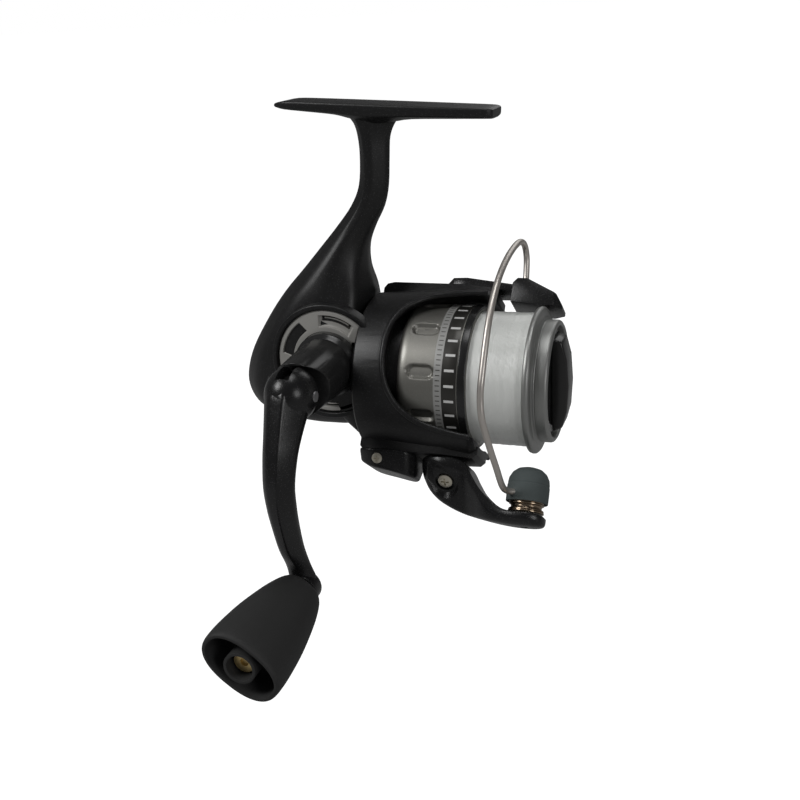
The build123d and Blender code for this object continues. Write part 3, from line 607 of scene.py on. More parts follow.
class RepeatTree:
    """Geometry Nodes trees for screws and for bars set round the spool axis."""

    def __init__(self) -> None:
        """Builds both trees."""
        self.screws = self._screw_tree()
        self.bars = self._bar_tree()

    @staticmethod
    def _combine(tree: Tree, x: object, y: object, z: object) -> Socket:
        """A vector from three numbers or outputs."""
        return add_node(tree, "ShaderNodeCombineXYZ", {0: x, 1: y, 2: z}).outputs[0]

    @staticmethod
    def _finish(tree: Tree, instances: Socket, material: Socket) -> None:
        """Ends a tree: real geometry, with its material."""
        real = add_node(tree, "GeometryNodeRealizeInstances", {0: instances})
        paint = add_node(tree, "GeometryNodeSetMaterial", {"Geometry": real.outputs[0], "Material": material})
        add_node(tree, "NodeGroupOutput", {0: paint.outputs[0]})

    def _moved(self, tree: Tree, shape: Node, height: Socket) -> Socket:
        """Lifts a shape along its own Z."""
        return add_node(tree, "GeometryNodeTransform", {"Geometry": shape.outputs[0],
                                                        "Translation": self._combine(tree, 0.0, 0.0, height)}).outputs[0]

    def _screw_tree(self) -> Tree:
        """A cross-head screw on every point, its head facing along Axis."""
        labels = ("Head Radius", "Head Height", "Shank Radius", "Shank Length")
        tree, ins = start_tree("cross_head_screws", "GeometryNodeTree",
                               {"Geometry": "Geometry", **{label: "Float" for label in labels},
                                "Axis": "Vector", "Finish": "Material"}, {"Geometry": "Geometry"})
        radius, height, shank_radius, shank_length = (ins.outputs[label] for label in labels)

        def part_of(value: Socket, share: float) -> Socket:
            """A share of a size."""
            return calculated(tree, "MULTIPLY", value, share)
        head = add_node(tree, "GeometryNodeMeshCylinder",
                        {"Vertices": 40, "Side Segments": 1, "Radius": radius, "Depth": height})
        crown = add_node(tree, "GeometryNodeMeshCone", {"Vertices": 40, "Radius Bottom": radius,
                                                        "Radius Top": part_of(radius, 0.72),
                                                        "Depth": part_of(height, 0.3)})
        body = add_node(tree, "GeometryNodeMeshBoolean", operation="UNION", solver="EXACT")
        for source in (head.outputs[0], self._moved(tree, crown, part_of(height, 0.499))):
            tree.links.new(source, body.inputs["Mesh 2"])
        cut = add_node(tree, "GeometryNodeMeshBoolean", {"Mesh 1": body.outputs[0]}, operation="DIFFERENCE",
                       solver="EXACT")
        length, width = part_of(radius, 1.15), part_of(radius, 0.26)
        for sides in ((width, length), (length, width)):
            bar = add_node(tree, "GeometryNodeMeshCube", {"Size": self._combine(tree, *sides, height)})
            tree.links.new(self._moved(tree, bar, part_of(height, 0.8)), cut.inputs["Mesh 2"])
        shank = add_node(tree, "GeometryNodeMeshCylinder",
                         {"Vertices": 24, "Radius": shank_radius, "Depth": shank_length})
        below = part_of(calculated(tree, "ADD", shank_length, height), -0.5)
        whole = add_node(tree, "GeometryNodeJoinGeometry", {0: cut.outputs[0]})
        tree.links.new(self._moved(tree, shank, below), whole.inputs[0])
        align = add_node(tree, "FunctionNodeAlignEulerToVector", {"Vector": ins.outputs["Axis"]}, axis="Z")
        spread = add_node(tree, "GeometryNodeInstanceOnPoints", {
            "Points": ins.outputs["Geometry"], "Instance": whole.outputs[0], "Rotation": align.outputs[0]})
        self._finish(tree, spread.outputs[0], ins.outputs["Finish"])
        return tree

    def _bar_tree(self) -> Tree:
        """Small bars set on an arc round the X axis through the origin given."""
        tree, ins = start_tree("bars_round_axis", "GeometryNodeTree",
                               {"Geometry": "Geometry", "Count": "Int", "Radius": "Float", "Start": "Float",
                                "Step": "Float", "Origin": "Vector", "Bar": "Vector", "Finish": "Material"},
                               {"Geometry": "Geometry"})
        line = add_node(tree, "GeometryNodeMeshLine", {"Count": ins.outputs["Count"]})
        index = tree.nodes.new("GeometryNodeInputIndex").outputs[0]
        turn = calculated(tree, "ADD", calculated(tree, "MULTIPLY", index, ins.outputs["Step"]),
                          ins.outputs["Start"])
        y, z = (calculated(tree, "MULTIPLY", calculated(tree, wave, turn), ins.outputs["Radius"])
                for wave in ("COSINE", "SINE"))
        move = add_node(tree, "ShaderNodeVectorMath", {0: self._combine(tree, 0.0, y, z), 1: ins.outputs["Origin"]})
        put = add_node(tree, "GeometryNodeSetPosition", {"Geometry": line.outputs[0], "Position": move.outputs[0]})
        bar = add_node(tree, "GeometryNodeMeshCube", {"Size": ins.outputs["Bar"]})
        spread = add_node(tree, "GeometryNodeInstanceOnPoints", {
            "Points": put.outputs[0], "Instance": bar.outputs[0],
            "Rotation": self._combine(tree, turn, 0.0, 0.0)})
        self._finish(tree, spread.outputs[0], ins.outputs["Finish"])
        return tree

    @staticmethod
    def made(name: str, tree: Tree, points: Sequence[Vector], **values: object) -> Obj:
        """Runs a tree and returns its result as a plain mesh.

        Args:
            name: the new object's name.
            tree: the tree.
            points: the points that it starts from, in the row frame.
            values: its inputs by name, with underscores for spaces.

        Returns:
            The new object.
        """
        mesh = bpy.data.meshes.new(name)
        mesh.from_pydata(points, [], [])
        obj = linked(name, mesh)
        nodes = obj.modifiers.new("repeat", "NODES")
        nodes.node_group = tree
        ids = {item.name: item.identifier for item in tree.interface.items_tree if item.in_out == "INPUT"}
        for label, value in values.items():
            nodes[ids[label.replace("_", " ")]] = value
        return applied(obj)

    def screw_set(self, node: str, name: str, body: Body, spots: Sequence[Point], axis: Point, kind: ScrewKind,
                  place: Place = Place.ROTOR) -> None:
        """Makes and keeps cross-head screws.

        Args:
            node: the CAD node that they stand for.
            name: the new object's name.
            body: the body that they ride on.
            spots: points on their heads' outer faces.
            axis: the way that the heads face.
            kind: their sizes.
            place: the frame that the points are given in.
        """
        way = REEL.at(axis, place) - REEL.at((0, 0, 0), place)
        way.normalize()
        points = [REEL.at(p, place) - way * (kind.head * HEAD_OUT) * MM for p in spots]
        screws = self.made(name, self.screws, points, Head_Radius=kind.radius * MM, Head_Height=kind.head * MM,
                           Shank_Radius=kind.shank * MM, Shank_Length=kind.length * MM, Axis=tuple(way),
                           Finish=SCREW_NICKEL.material())
        keep(screws, SCREW_NICKEL, body, node, shade=kind.shade)


# ---------------------------------------------------------------- housing
@dataclass
class Housing:
    """The gear case, stem, foot, side cover and side plate."""

    repeat: RepeatTree
    drive: Flat = (-59.6, 7.4)
    plate_centre: Flat = (-60.6, 7.4)
    plate_radius: float = 16.0
    plate_face: float = -15.3
    plate_thick: float = 2.2
    plate_steps: int = 540
    plate_radii: tuple[float, ...] = (9.6, 10.2, 10.6, 10.8, 10.95, 11.1, 11.3, 11.6, 12.0, 12.3, 12.5, 12.7, 12.9,
                                      13.1, 13.3, 13.5, 13.7, 13.9, 14.05, 14.2, 14.35, 14.5, 14.65, 14.8, 15.0,
                                      15.3, 15.6, 15.85, 15.98)
    # faces whose mean depth passes this get the painted shade
    recess_from: float = 0.95
    cover_plane: float = 11.5
    collar_radius: float = 20.8
    foot_tilt: float = 3.3
    axis_below: float = 81.3
    cover_screws: tuple[Flat, ...] = ((-82.0, -7.6), (-75.6, 17.6), (-57.6, 21.6), (-57.5, -10.6))
    screw_proud: float = 0.1
    wall: float = 2.3
    window_angles: tuple[float, ...] = (74.0, 148.0, 216.0, 281.0, 352.0)
    # height, then x of the rear edge, x and y of three side corners, x and y of the front corner, x of the front
    sections: Rows = (
        (79.0, -56.0, -55.0, 1.8, -51.6, 5.0, -46.0, 4.8, -38.0, 1.8, -37.0),
        (76.0, -53.2, -52.4, 1.8, -50.2, 4.7, -47.2, 4.5, -40.8, 1.7, -39.9),
        (72.0, -52.0, -51.4, 1.7, -49.2, 4.5, -47.0, 4.3, -42.6, 1.6, -41.8),
        (66.0, -51.7, -51.2, 1.7, -48.9, 4.5, -46.8, 4.3, -43.2, 1.6, -42.4),
        (58.0, -52.6, -52.0, 1.9, -49.4, 4.5, -47.2, 4.3, -43.8, 1.6, -43.1),
        (52.0, -55.4, -54.8, 2.2, -51.6, 5.0, -49.2, 4.9, -45.4, 1.9, -44.7),
        (46.0, -60.2, -59.4, 3.0, -55.6, 6.6, -52.6, 6.4, -48.8, 2.8, -47.9),
        (40.0, -65.6, -64.6, 4.2, -60.0, 8.8, -56.2, 8.7, -51.4, 4.8, -50.4),
        (33.0, -72.0, -70.8, 5.4, -65.4, 11.4, -60.0, 11.5, -52.6, 8.0, -51.0),
        (26.0, -78.6, -77.2, 6.4, -71.0, 13.4, -63.0, 13.7, -52.2, 11.6, -49.6),
        (18.0, -84.8, -83.2, 6.8, -76.5, 14.4, -67.0, 14.9, -52.2, 14.2, -50.2),
        (8.0, -91.0, -89.4, 7.0, -83.0, 14.3, -72.0, 15.1, -52.2, 15.0, -50.8),
        (0.0, -93.9, -92.4, 6.8, -86.0, 13.5, -74.0, 15.1, -52.2, 15.0, -50.8),
        (-6.0, -94.1, -92.6, 6.2, -86.0, 12.5, -74.0, 14.6, -52.2, 14.2, -50.8),
        (-11.0, -91.8, -90.4, 5.2, -84.0, 10.4, -72.0, 12.6, -53.0, 11.8, -51.4),
        (-14.2, -87.4, -86.0, 4.0, -80.0, 7.8, -70.0, 9.8, -55.0, 9.2, -53.2),
        (-15.9, -81.0, -79.8, 2.6, -76.0, 5.0, -69.0, 6.8, -58.0, 6.4, -56.5))

    def _ring(self, row: Sequence[float], inset: float = 0.0) -> list[Point]:
        """One level section of the case, rounded at its corners."""
        z, rear, x1, y1, x2, y2, x3, y3, x4, y4, front = row
        side = [(x1 + inset, y1 - inset * 0.4), (x2 + inset * 0.7, y2 - inset), (x3, y3 - inset),
                (x4 - inset * 0.6, y4 - inset)]
        near = [(x, -y) for x, y in side]
        outline = [(rear + inset, 0.0)] + near + [(front - inset, 0.0)] + list(reversed(side))
        wide = smoothstep(36.0, 50.0, z)
        radii = [0.5 + 1.6 * (1 - wide), 0.9 + 2.2 * (1 - wide), 0.4 + 2.6 * (1 - wide), 0.9 + 2.0 * (1 - wide),
                 0.8 + 2.0 * (1 - wide), 0.6 + 0.8 * (1 - wide)]
        radii += list(reversed(radii[1:-1]))
        return [(x, y, z) for x, y in filleted(outline, radii)]

    def _foot(self) -> Obj:
        """The foot: thin tongues fore and aft, thick over the stem."""
        # x, height of the top, of the underside's edge and of its middle, half width
        stations = ((-33.2, -1.3, -1.8, -2.0, 3.4), (-32.4, -0.8, -2.0, -2.2, 4.4), (-29.0, -0.1, -2.3, -2.7, 6.2),
                    (-22.0, 0.0, -2.5, -3.1, 6.7), (-14.0, 0.0, -2.7, -3.6, 7.0), (-9.0, 0.0, -2.9, -4.6, 7.1),
                    (-2.0, 0.0, -3.0, -5.6, 7.2), (4.0, 0.0, -3.0, -4.8, 7.2), (9.0, 0.0, -2.9, -4.0, 7.2),
                    (20.0, 0.0, -2.7, -3.5, 7.0), (30.0, 0.0, -2.6, -3.1, 6.6), (32.2, -0.15, -2.5, -3.0, 5.8),
                    (32.8, -0.4, -2.3, -2.7, 5.0))
        tilt = math.radians(self.foot_tilt)
        rings = []
        for x, top, edge, middle, half in smooth_rows(stations, 3):
            outline = [(-half, top), (-half, edge), (-half * 0.55, middle), (half * 0.55, middle), (half, edge),
                       (half, top)]
            ring = []
            for y, z in filleted(outline, (0.6, 0.8, 1.4, 1.4, 0.8, 0.6)):
                ring.append((x * math.cos(tilt) + z * math.sin(tilt) - 43.0, y,
                             self.axis_below - x * math.sin(tilt) + z * math.cos(tilt)))
            rings.append(ring)
        return loft("foot", rings)

    def _collar(self) -> Obj:
        """The round front of the case, flattened at both sides, with the boss inside the rotor."""
        profile = filleted([(-58.0, 12.0), (-58.0, 17.0), (-52.6, self.collar_radius), (-44.0, self.collar_radius),
                            (-44.0, 12.6), (-33.2, 12.6), (-33.2, 9.0), (-40.0, 9.0)], 0.7)

        def flat_sided(x: float, r: float, angle: float) -> float:
            """Keeps the sides at the case's half width."""
            return min(r, 15.3 / max(abs(math.cos(angle)), 0.01))
        return lathe("collar", profile, 144, flat_sided)

    def _plate_rim(self) -> Obj:
        """The raised rim round the side plate."""
        r = self.plate_radius
        profile = filleted([(-15.9, r + 0.4), (-15.9, r + 1.9), (-12.0, r + 2.3), (-12.0, r + 0.2), (-14.6, r + 0.12)],
                           0.45)
        return lathe_about("rim", profile, self.plate_centre, False, Place.SPOOL, 128)

    def _plate_point(self, r: float, step: int, drop: float) -> Point:
        """A point of the side plate, at a depth below its face."""
        a = math.radians(360.0 * step / self.plate_steps)
        return (self.plate_centre[0] + r * math.cos(a), self.plate_face + drop, self.plate_centre[1] + r * math.sin(a))

    def _drop(self, r: float, angle: float) -> float:
        """How deep the plate's windows, slots and rounded rim lie under its face."""
        turn = min(self.window_angles, key=lambda a: abs((angle - a + 180) % 360 - 180))
        off = math.radians((angle - turn + 180) % 360 - 180)
        across = abs(r * math.sin(off))
        half = 3.5 + (r - 5) * 0.245
        edge = min(half - across, r - 10.9, 14.65 - r) if abs(off) < 0.9 else -1.0
        drop = 0.85 * smoothstep(0.0, 0.55, edge)
        if edge > 0:
            slot = min(half - across - 0.9, r - 12.75, 14.5 - r)
            bar = min(half - across - 1.5, r - 13.25, 14.1 - r)
            drop += 0.5 * smoothstep(0.0, 0.2, slot)
            drop -= 0.7 * smoothstep(0.0, 0.35, bar)
        return drop + 0.35 * smoothstep(15.6, 16.0, r)

    def _side_plate(self) -> Obj:
        """The silver plate, with arc windows that have sloped frames and a bar in a slot, and painted shade on the
        slots' floors.
        """
        radii, steps = self.plate_radii, self.plate_steps
        n = len(radii)
        drops = [[self._drop(r, 360.0 * s / steps) for r in radii] for s in range(steps)]
        points = [self._plate_point(r, s, drops[s][i]) for s in range(steps) for i, r in enumerate(radii)]
        faces: list[Sequence[int]] = []
        # marks the faces deep in the slots, which get the painted shade
        deep: list[bool] = []
        for s in range(steps):
            t = (s + 1) % steps
            for i in range(n - 1):
                faces.append((s * n + i, s * n + i + 1, t * n + i + 1, t * n + i))
                level = (drops[s][i] + drops[s][i + 1] + drops[t][i + 1] + drops[t][i]) / 4
                deep.append(level > self.recess_from)
        back = len(points)
        points += [self._plate_point(r, s, self.plate_thick) for s in range(steps) for r in (radii[0], radii[-1])]
        for s in range(steps):
            t = (s + 1) % steps
            faces.append((s * n, t * n, back + 2 * t, back + 2 * s))
            faces.append((s * n + n - 1, back + 2 * s + 1, back + 2 * t + 1, t * n + n - 1))
            faces.append((back + 2 * s, back + 2 * t, back + 2 * t + 1, back + 2 * s + 1))
        obj = mesh_of("side_plate", points, faces)
        # The faces deep in the slots take the second finish: a darker silver painted as shade.
        for polygon, is_deep in zip(obj.data.polygons, deep):
            polygon.material_index = int(is_deep)
        return obj

    def build(self) -> None:
        """Builds and dresses every housing piece."""
        case = loft("case", [self._ring(row) for row in smooth_rows(self.sections, 4)])
        hollow = loft("hollow", [self._ring(row, self.wall) for row in smooth_rows(self.sections[8:-1], 3)])
        halves = {}
        for side in (-1, 1):
            half = linked("half", case.data.copy())
            low, high = (-40.0, self.cover_plane - 0.06) if side < 0 else (self.cover_plane + 0.06, 40.0)
            corners = [REEL.at((x, y, z)) for x in (-120, 20) for y in (low, high) for z in (-60, 120)]
            box = bpy.data.meshes.new("box")
            box.from_pydata(corners, [], BOX_FACES)
            halves[side] = combined(half, linked("keep_box", box), "INTERSECT")
        bpy.data.objects.remove(case)
        inside = linked("inside", hollow.data.copy())
        housing = combined(halves[-1], hollow, "DIFFERENCE")
        for part in (self._foot(), self._collar(), self._plate_rim()):
            housing = combined(housing, part, "UNION")
        housing.name = "case_stem_and_foot"
        keep(housing, CASE_BLACK, Body.HOUSING, "body_housing", shade=28.0)
        cover = combined(halves[1], inside, "DIFFERENCE")
        cover = combined(cover, cylinder("boss", 8.6, self._drive_at(11.0), self._drive_at(15.2)), "UNION")
        cover.name = "far_side_cover"
        keep(cover, CASE_BLACK, Body.HOUSING, "side_cover")
        plate = self._side_plate()
        # The slots' floors wear the darker copy of the silver: painted shade.
        keep(plate, PLATE_SILVER, Body.HOUSING, "handle_side_plate", extra=(PLATE_SLOT_SHADE,))
        spots = []
        for x, z in self.cover_screws:
            _, hit, _, _ = cover.ray_cast(REEL.at((x, 60.0, z)), Vector((0, -1, 0)))
            spots.append((x, hit.y / MM + self.screw_proud, z))
        self.repeat.screw_set("side_cover_screws", "side_cover_cross_screws", Body.HOUSING, spots, (0, 1, 0),
                              ScrewKind(1.9, 1.3, 1.1, 7.0, 30.0), Place.SPOOL)

    def _drive_at(self, y: float) -> Point:
        """A point on the drive axis."""
        return (self.drive[0], y, self.drive[1])


# ---------------------------------------------------------------- spool and drag
@dataclass
class Spool:
    """The spool's skirt, rings and line, and the drag knob in its nose."""

    repeat: RepeatTree
    skirt_radius: float = 21.6
    lip_radius: float = 22.0
    wind_rear: float = -16.4
    wind_radius: float = 20.1
    hub_radius: float = 13.0
    strand: float = 0.32
    dimples: int = 10
    dimple_start: float = 33.0
    dimple_rear: float = -32.0
    dimple_front: float = -27.8
    dimple_radius: float = 2.3
    dimple_depth: float = 1.05
    # x from and to
    dark_band: Flat = (-23.3, -18.9)
    label_band: Flat = (-25.7, -23.3)

    def _skirt(self) -> Obj:
        """The skirt with its oval dimples, as one turned shape."""
        rows = [x / 100 for x in range(-3430, -2590, 28)]
        outer = [(-37.0, 20.7), (-36.6, 21.1), (-35.8, 21.45), (-34.9, 21.58)]
        outer += [(x, self.skirt_radius) for x in rows]
        outer += [(x, self.skirt_radius) for x in (-25.7, -23.3, -21.5, self.dark_band[1])]
        outer.append((-18.6, self.skirt_radius - 0.1))
        inner = [(-18.6, 20.9), (-16.4, 20.9), (-16.4, 13.0), (0.0, 13.0), (0.0, 11.5), (-11.0, 11.5), (-11.0, 7.6),
                 (-12.0, 7.6), (-12.0, 2.1), (-14.5, 2.1), (-14.5, 11.5), (-17.4, 11.5), (-17.4, 20.1), (-37.0, 20.1)]
        pitch = 360.0 / self.dimples

        def dimpled(x: float, r: float, angle: float) -> float:
            """Sinks the oval dimples into the skirt's outside."""
            if r < self.skirt_radius - 0.05 or not self.dimple_rear - 3 < x < self.dimple_front + 3:
                return r
            turn = (math.degrees(angle) - 90 - self.dimple_start + pitch / 2) % pitch - pitch / 2
            across = math.radians(turn) * r
            along = x - min(max(x, self.dimple_rear), self.dimple_front)
            off = math.hypot(across, along)
            return r - self.dimple_depth * smoothstep(self.dimple_radius, self.dimple_radius - 1.0, off)
        obj = lathe("spool_skirt", outer + inner, 540, dimpled)
        for polygon in obj.data.polygons:
            x = polygon.center.x / MM - REEL.lip_x
            radius = math.hypot(polygon.center.y / MM, polygon.center.z / MM - REEL.axis_z)
            if radius > 21.3 and self.label_band[0] < x < self.dark_band[1]:
                polygon.material_index = 1 if x > self.dark_band[0] else 2
        return obj

    def _winding(self) -> Obj:
        """The line, wound in fine strands."""
        profile = [(self.wind_rear, self.hub_radius)]
        count = int(-self.wind_rear / self.strand)
        step = -self.wind_rear / count
        for i in range(count):
            x = self.wind_rear + i * -self.wind_rear / count
            profile += [(x + step * along, self.wind_radius - low)
                        for along, low in ((0.0, 0.11), (0.25, 0.02), (0.5, 0.0), (0.75, 0.02))]
        profile += [(0.0, self.wind_radius - 0.1), (0.0, self.hub_radius)]

        def uneven(x: float, r: float, angle: float) -> float:
            """Lays the strands a little unevenly."""
            if r < self.wind_radius - 1:
                return r
            return r - 0.05 * (1 + math.sin(x * 2.1) * math.sin(x * 0.83 + 0.02 * math.sin(angle)))
        return lathe("wound_line", profile, 144, uneven)

    def build(self) -> None:
        """Builds and dresses the spool and the drag."""
        keep(self._skirt(), SKIRT_SILVER, Body.SPOOL, "spool", shade=24.0, extra=(SKIRT_DARK, LABEL_GREY))
        trim = filleted([(-18.6, 20.9), (-18.6, 21.9), (-16.4, 21.7), (-16.4, 20.9)], 0.25)
        keep(lathe("skirt_trim", trim), TRIM_BLACK, Body.SPOOL, "skirt_trim_ring")
        lip = [(0.0, 11.5), (0.0, 21.2), (0.25, 21.8), (0.9, self.lip_radius), (1.5, 21.95), (2.0, 21.5), (2.2, 20.6),
               (2.3, 19.3), (2.6, 18.9), (2.8, 18.25), (3.1, 18.1), (3.3, 18.35), (5.9, 18.3), (6.4, 18.1), (6.8, 17.5),
               (6.8, 16.95), (6.4, 16.6), (2.0, 16.6), (1.6, 11.5)]
        keep(lathe("spool_lip", filleted(lip, 0.12, 2), 144), LIP_GREY, Body.SPOOL, "spool_lip_ring", shade=40.0)
        keep(self._winding(), LINE_CLEAR, Body.SPOOL, "line_winding", shade=60.0)
        for name, count, length, x, width, paint in (("skirt_ticks_fine", 90, 1.3, -24.5, 0.22, SKIRT_DARK),
                                                     ("skirt_ticks_bold", 30, 2.9, -21.1, 0.75, TICK_WHITE)):
            ticks = self._bars(name, paint, count, self.skirt_radius + 0.01, 0.02, 2 * math.pi / count, x,
                               (length, 0.08, width))
            keep(ticks, paint, Body.SPOOL, shade=None)
        keep(refined("drag_knob", "drag_disc", 0.18), TRIM_BLACK, Body.DRAG, "drag_knob")
        keep(refined("drag_knob_grip", "drag_grip", 1.3), GLOSS_BLACK, Body.DRAG, "drag_knob_grip")
        for name, start in (("drag_teeth_left", 0.62), ("drag_teeth_right", 0.62 + math.pi)):
            teeth = self._bars(name, DRAG_SILVER, 13, 14.0, start, 0.16, 5.45, (0.5, 1.7, 1.1))
            keep(teeth, DRAG_SILVER, Body.DRAG, shade=None)

    def _bars(self, name: str, finish: Finish, count: int, radius: float, start: float, step: float, x: float,
              bar: Point) -> Obj:
        """Small bars round the spool axis, with sizes in millimetres."""
        return self.repeat.made(name, self.repeat.bars, [], Count=count, Radius=radius * MM, Start=start, Step=step,
                                Origin=tuple(REEL.at((0, 0, 0)) + Vector((x * MM, 0, 0))),
                                Bar=tuple(side * MM for side in bar), Finish=finish.material())


# ---------------------------------------------------------------- rotor and bail
@dataclass
class Rotor:
    """The rotor's shell and arms, with a bead round both windows, and the arms' covers."""

    repeat: RepeatTree
    window: tuple[Flat, ...] = ((-14.6, 22.1), (-20.0, 21.5), (-28.0, 19.9), (-33.0, 17.7), (-37.0, 14.2),
                                (-39.6, 9.2), (-40.5, 4.2), (-40.6, 0.0))
    bead: float = 0.85

    @staticmethod
    def _shell_radius(x: float) -> float:
        """The shell's outside radius."""
        return 24.6 + 1.6 * smoothstep(-49.0, -20.0, x)

    def _bead(self, way: int, name: str) -> Obj:
        """The raised bead round one window."""
        half = list(self.window)
        outline = half + [(x, -z) for x, z in reversed(half[:-1])]
        path = []
        for x, z in smooth_rows(outline, 6):
            r = self._shell_radius(x) - 0.25
            path.append((x, way * math.sqrt(max(r * r - z * z, 1.0)), z))
        return tube(name, path, self.bead, Place.ROTOR, 14)

    @staticmethod
    def _near_cover() -> Obj:
        """The near arm's cover, with a slanted side that takes its screw."""
        rings = []
        for x, out, half in smooth_rows(((-49.8, 29.2, 5.8), (-49.2, 30.0, 7.0), (-46.0, 31.4, 8.4), (-40.0, 32.4, 8.6),
                                         (-35.2, 33.2, 8.2), (-33.0, 33.4, 5.6), (-32.4, 33.0, 4.6)), 4):
            outline = [(-half, 26.3), (-half - 0.2, 27.0), (-half + 2.2, out), (half - 2.0, out), (half, out - 3.0),
                       (half, 26.3)]
            rings.append([(x, y, -r) for y, r in filleted(outline, (0.2, 0.4, 0.8, 1.2, 1.0, 0.2))])
        return loft("arm_cover_near", rings, Place.ROTOR)

    def build(self) -> None:
        """Builds and dresses the rotor pieces."""
        body = refined("rotor", "rotor_shell_and_arms", 0.55, 28.0)
        keep(body, CASE_BLACK, Body.ROTOR, "rotor", shade=35.0)
        for way, name in ((-1, "window_bead_wire_side"), (1, "window_bead_open_side")):
            keep(self._bead(way, name), CASE_BLACK, Body.ROTOR)
        keep(self._near_cover(), LEVER_BLACK, Body.ROTOR, "rotor_arm_cover_near")
        far = loft("arm_cover_far", [[(x, y, z) for y, z in ((-w, 24.0), (-w, 26.4), (1.5 - w, 26.9), (w - 1.5, 26.9),
                                                              (w, 26.4), (w, 24.0))]
                                     for x, w in ((-48.2, 5.2), (-47.4, 6.2), (-34.0, 6.4), (-33.0, 5.6))], Place.ROTOR)
        keep(bevelled(far, 0.4, 30.0, 2), CASE_BLACK, Body.ROTOR, "rotor_arm_cover_far")
        for node, name, spot, axis, kind in (
                ("arm_cover_screw_near", "arm_cover_cross_screw_near", (-43.5, -8.2, -29.4), (0, -0.9, -0.43),
                 ScrewKind(1.6, 0.8, 1.0, 4.0)),
                ("arm_cover_screw_far", "arm_cover_cross_screw_far", (-45.5, 0, 26.9), (0, 0, 1),
                 ScrewKind(1.6, 0.8, 1.0, 3.4)),
                ("bail_pivot_screw_far", "bail_pivot_cross_screw_far", (-23.6, 0, 29.4), (0, 0, 1),
                 ScrewKind(2.4, 1.2, 1.1, 4.8))):
            self.repeat.screw_set(node, name, Body.ROTOR, [spot], axis, kind)


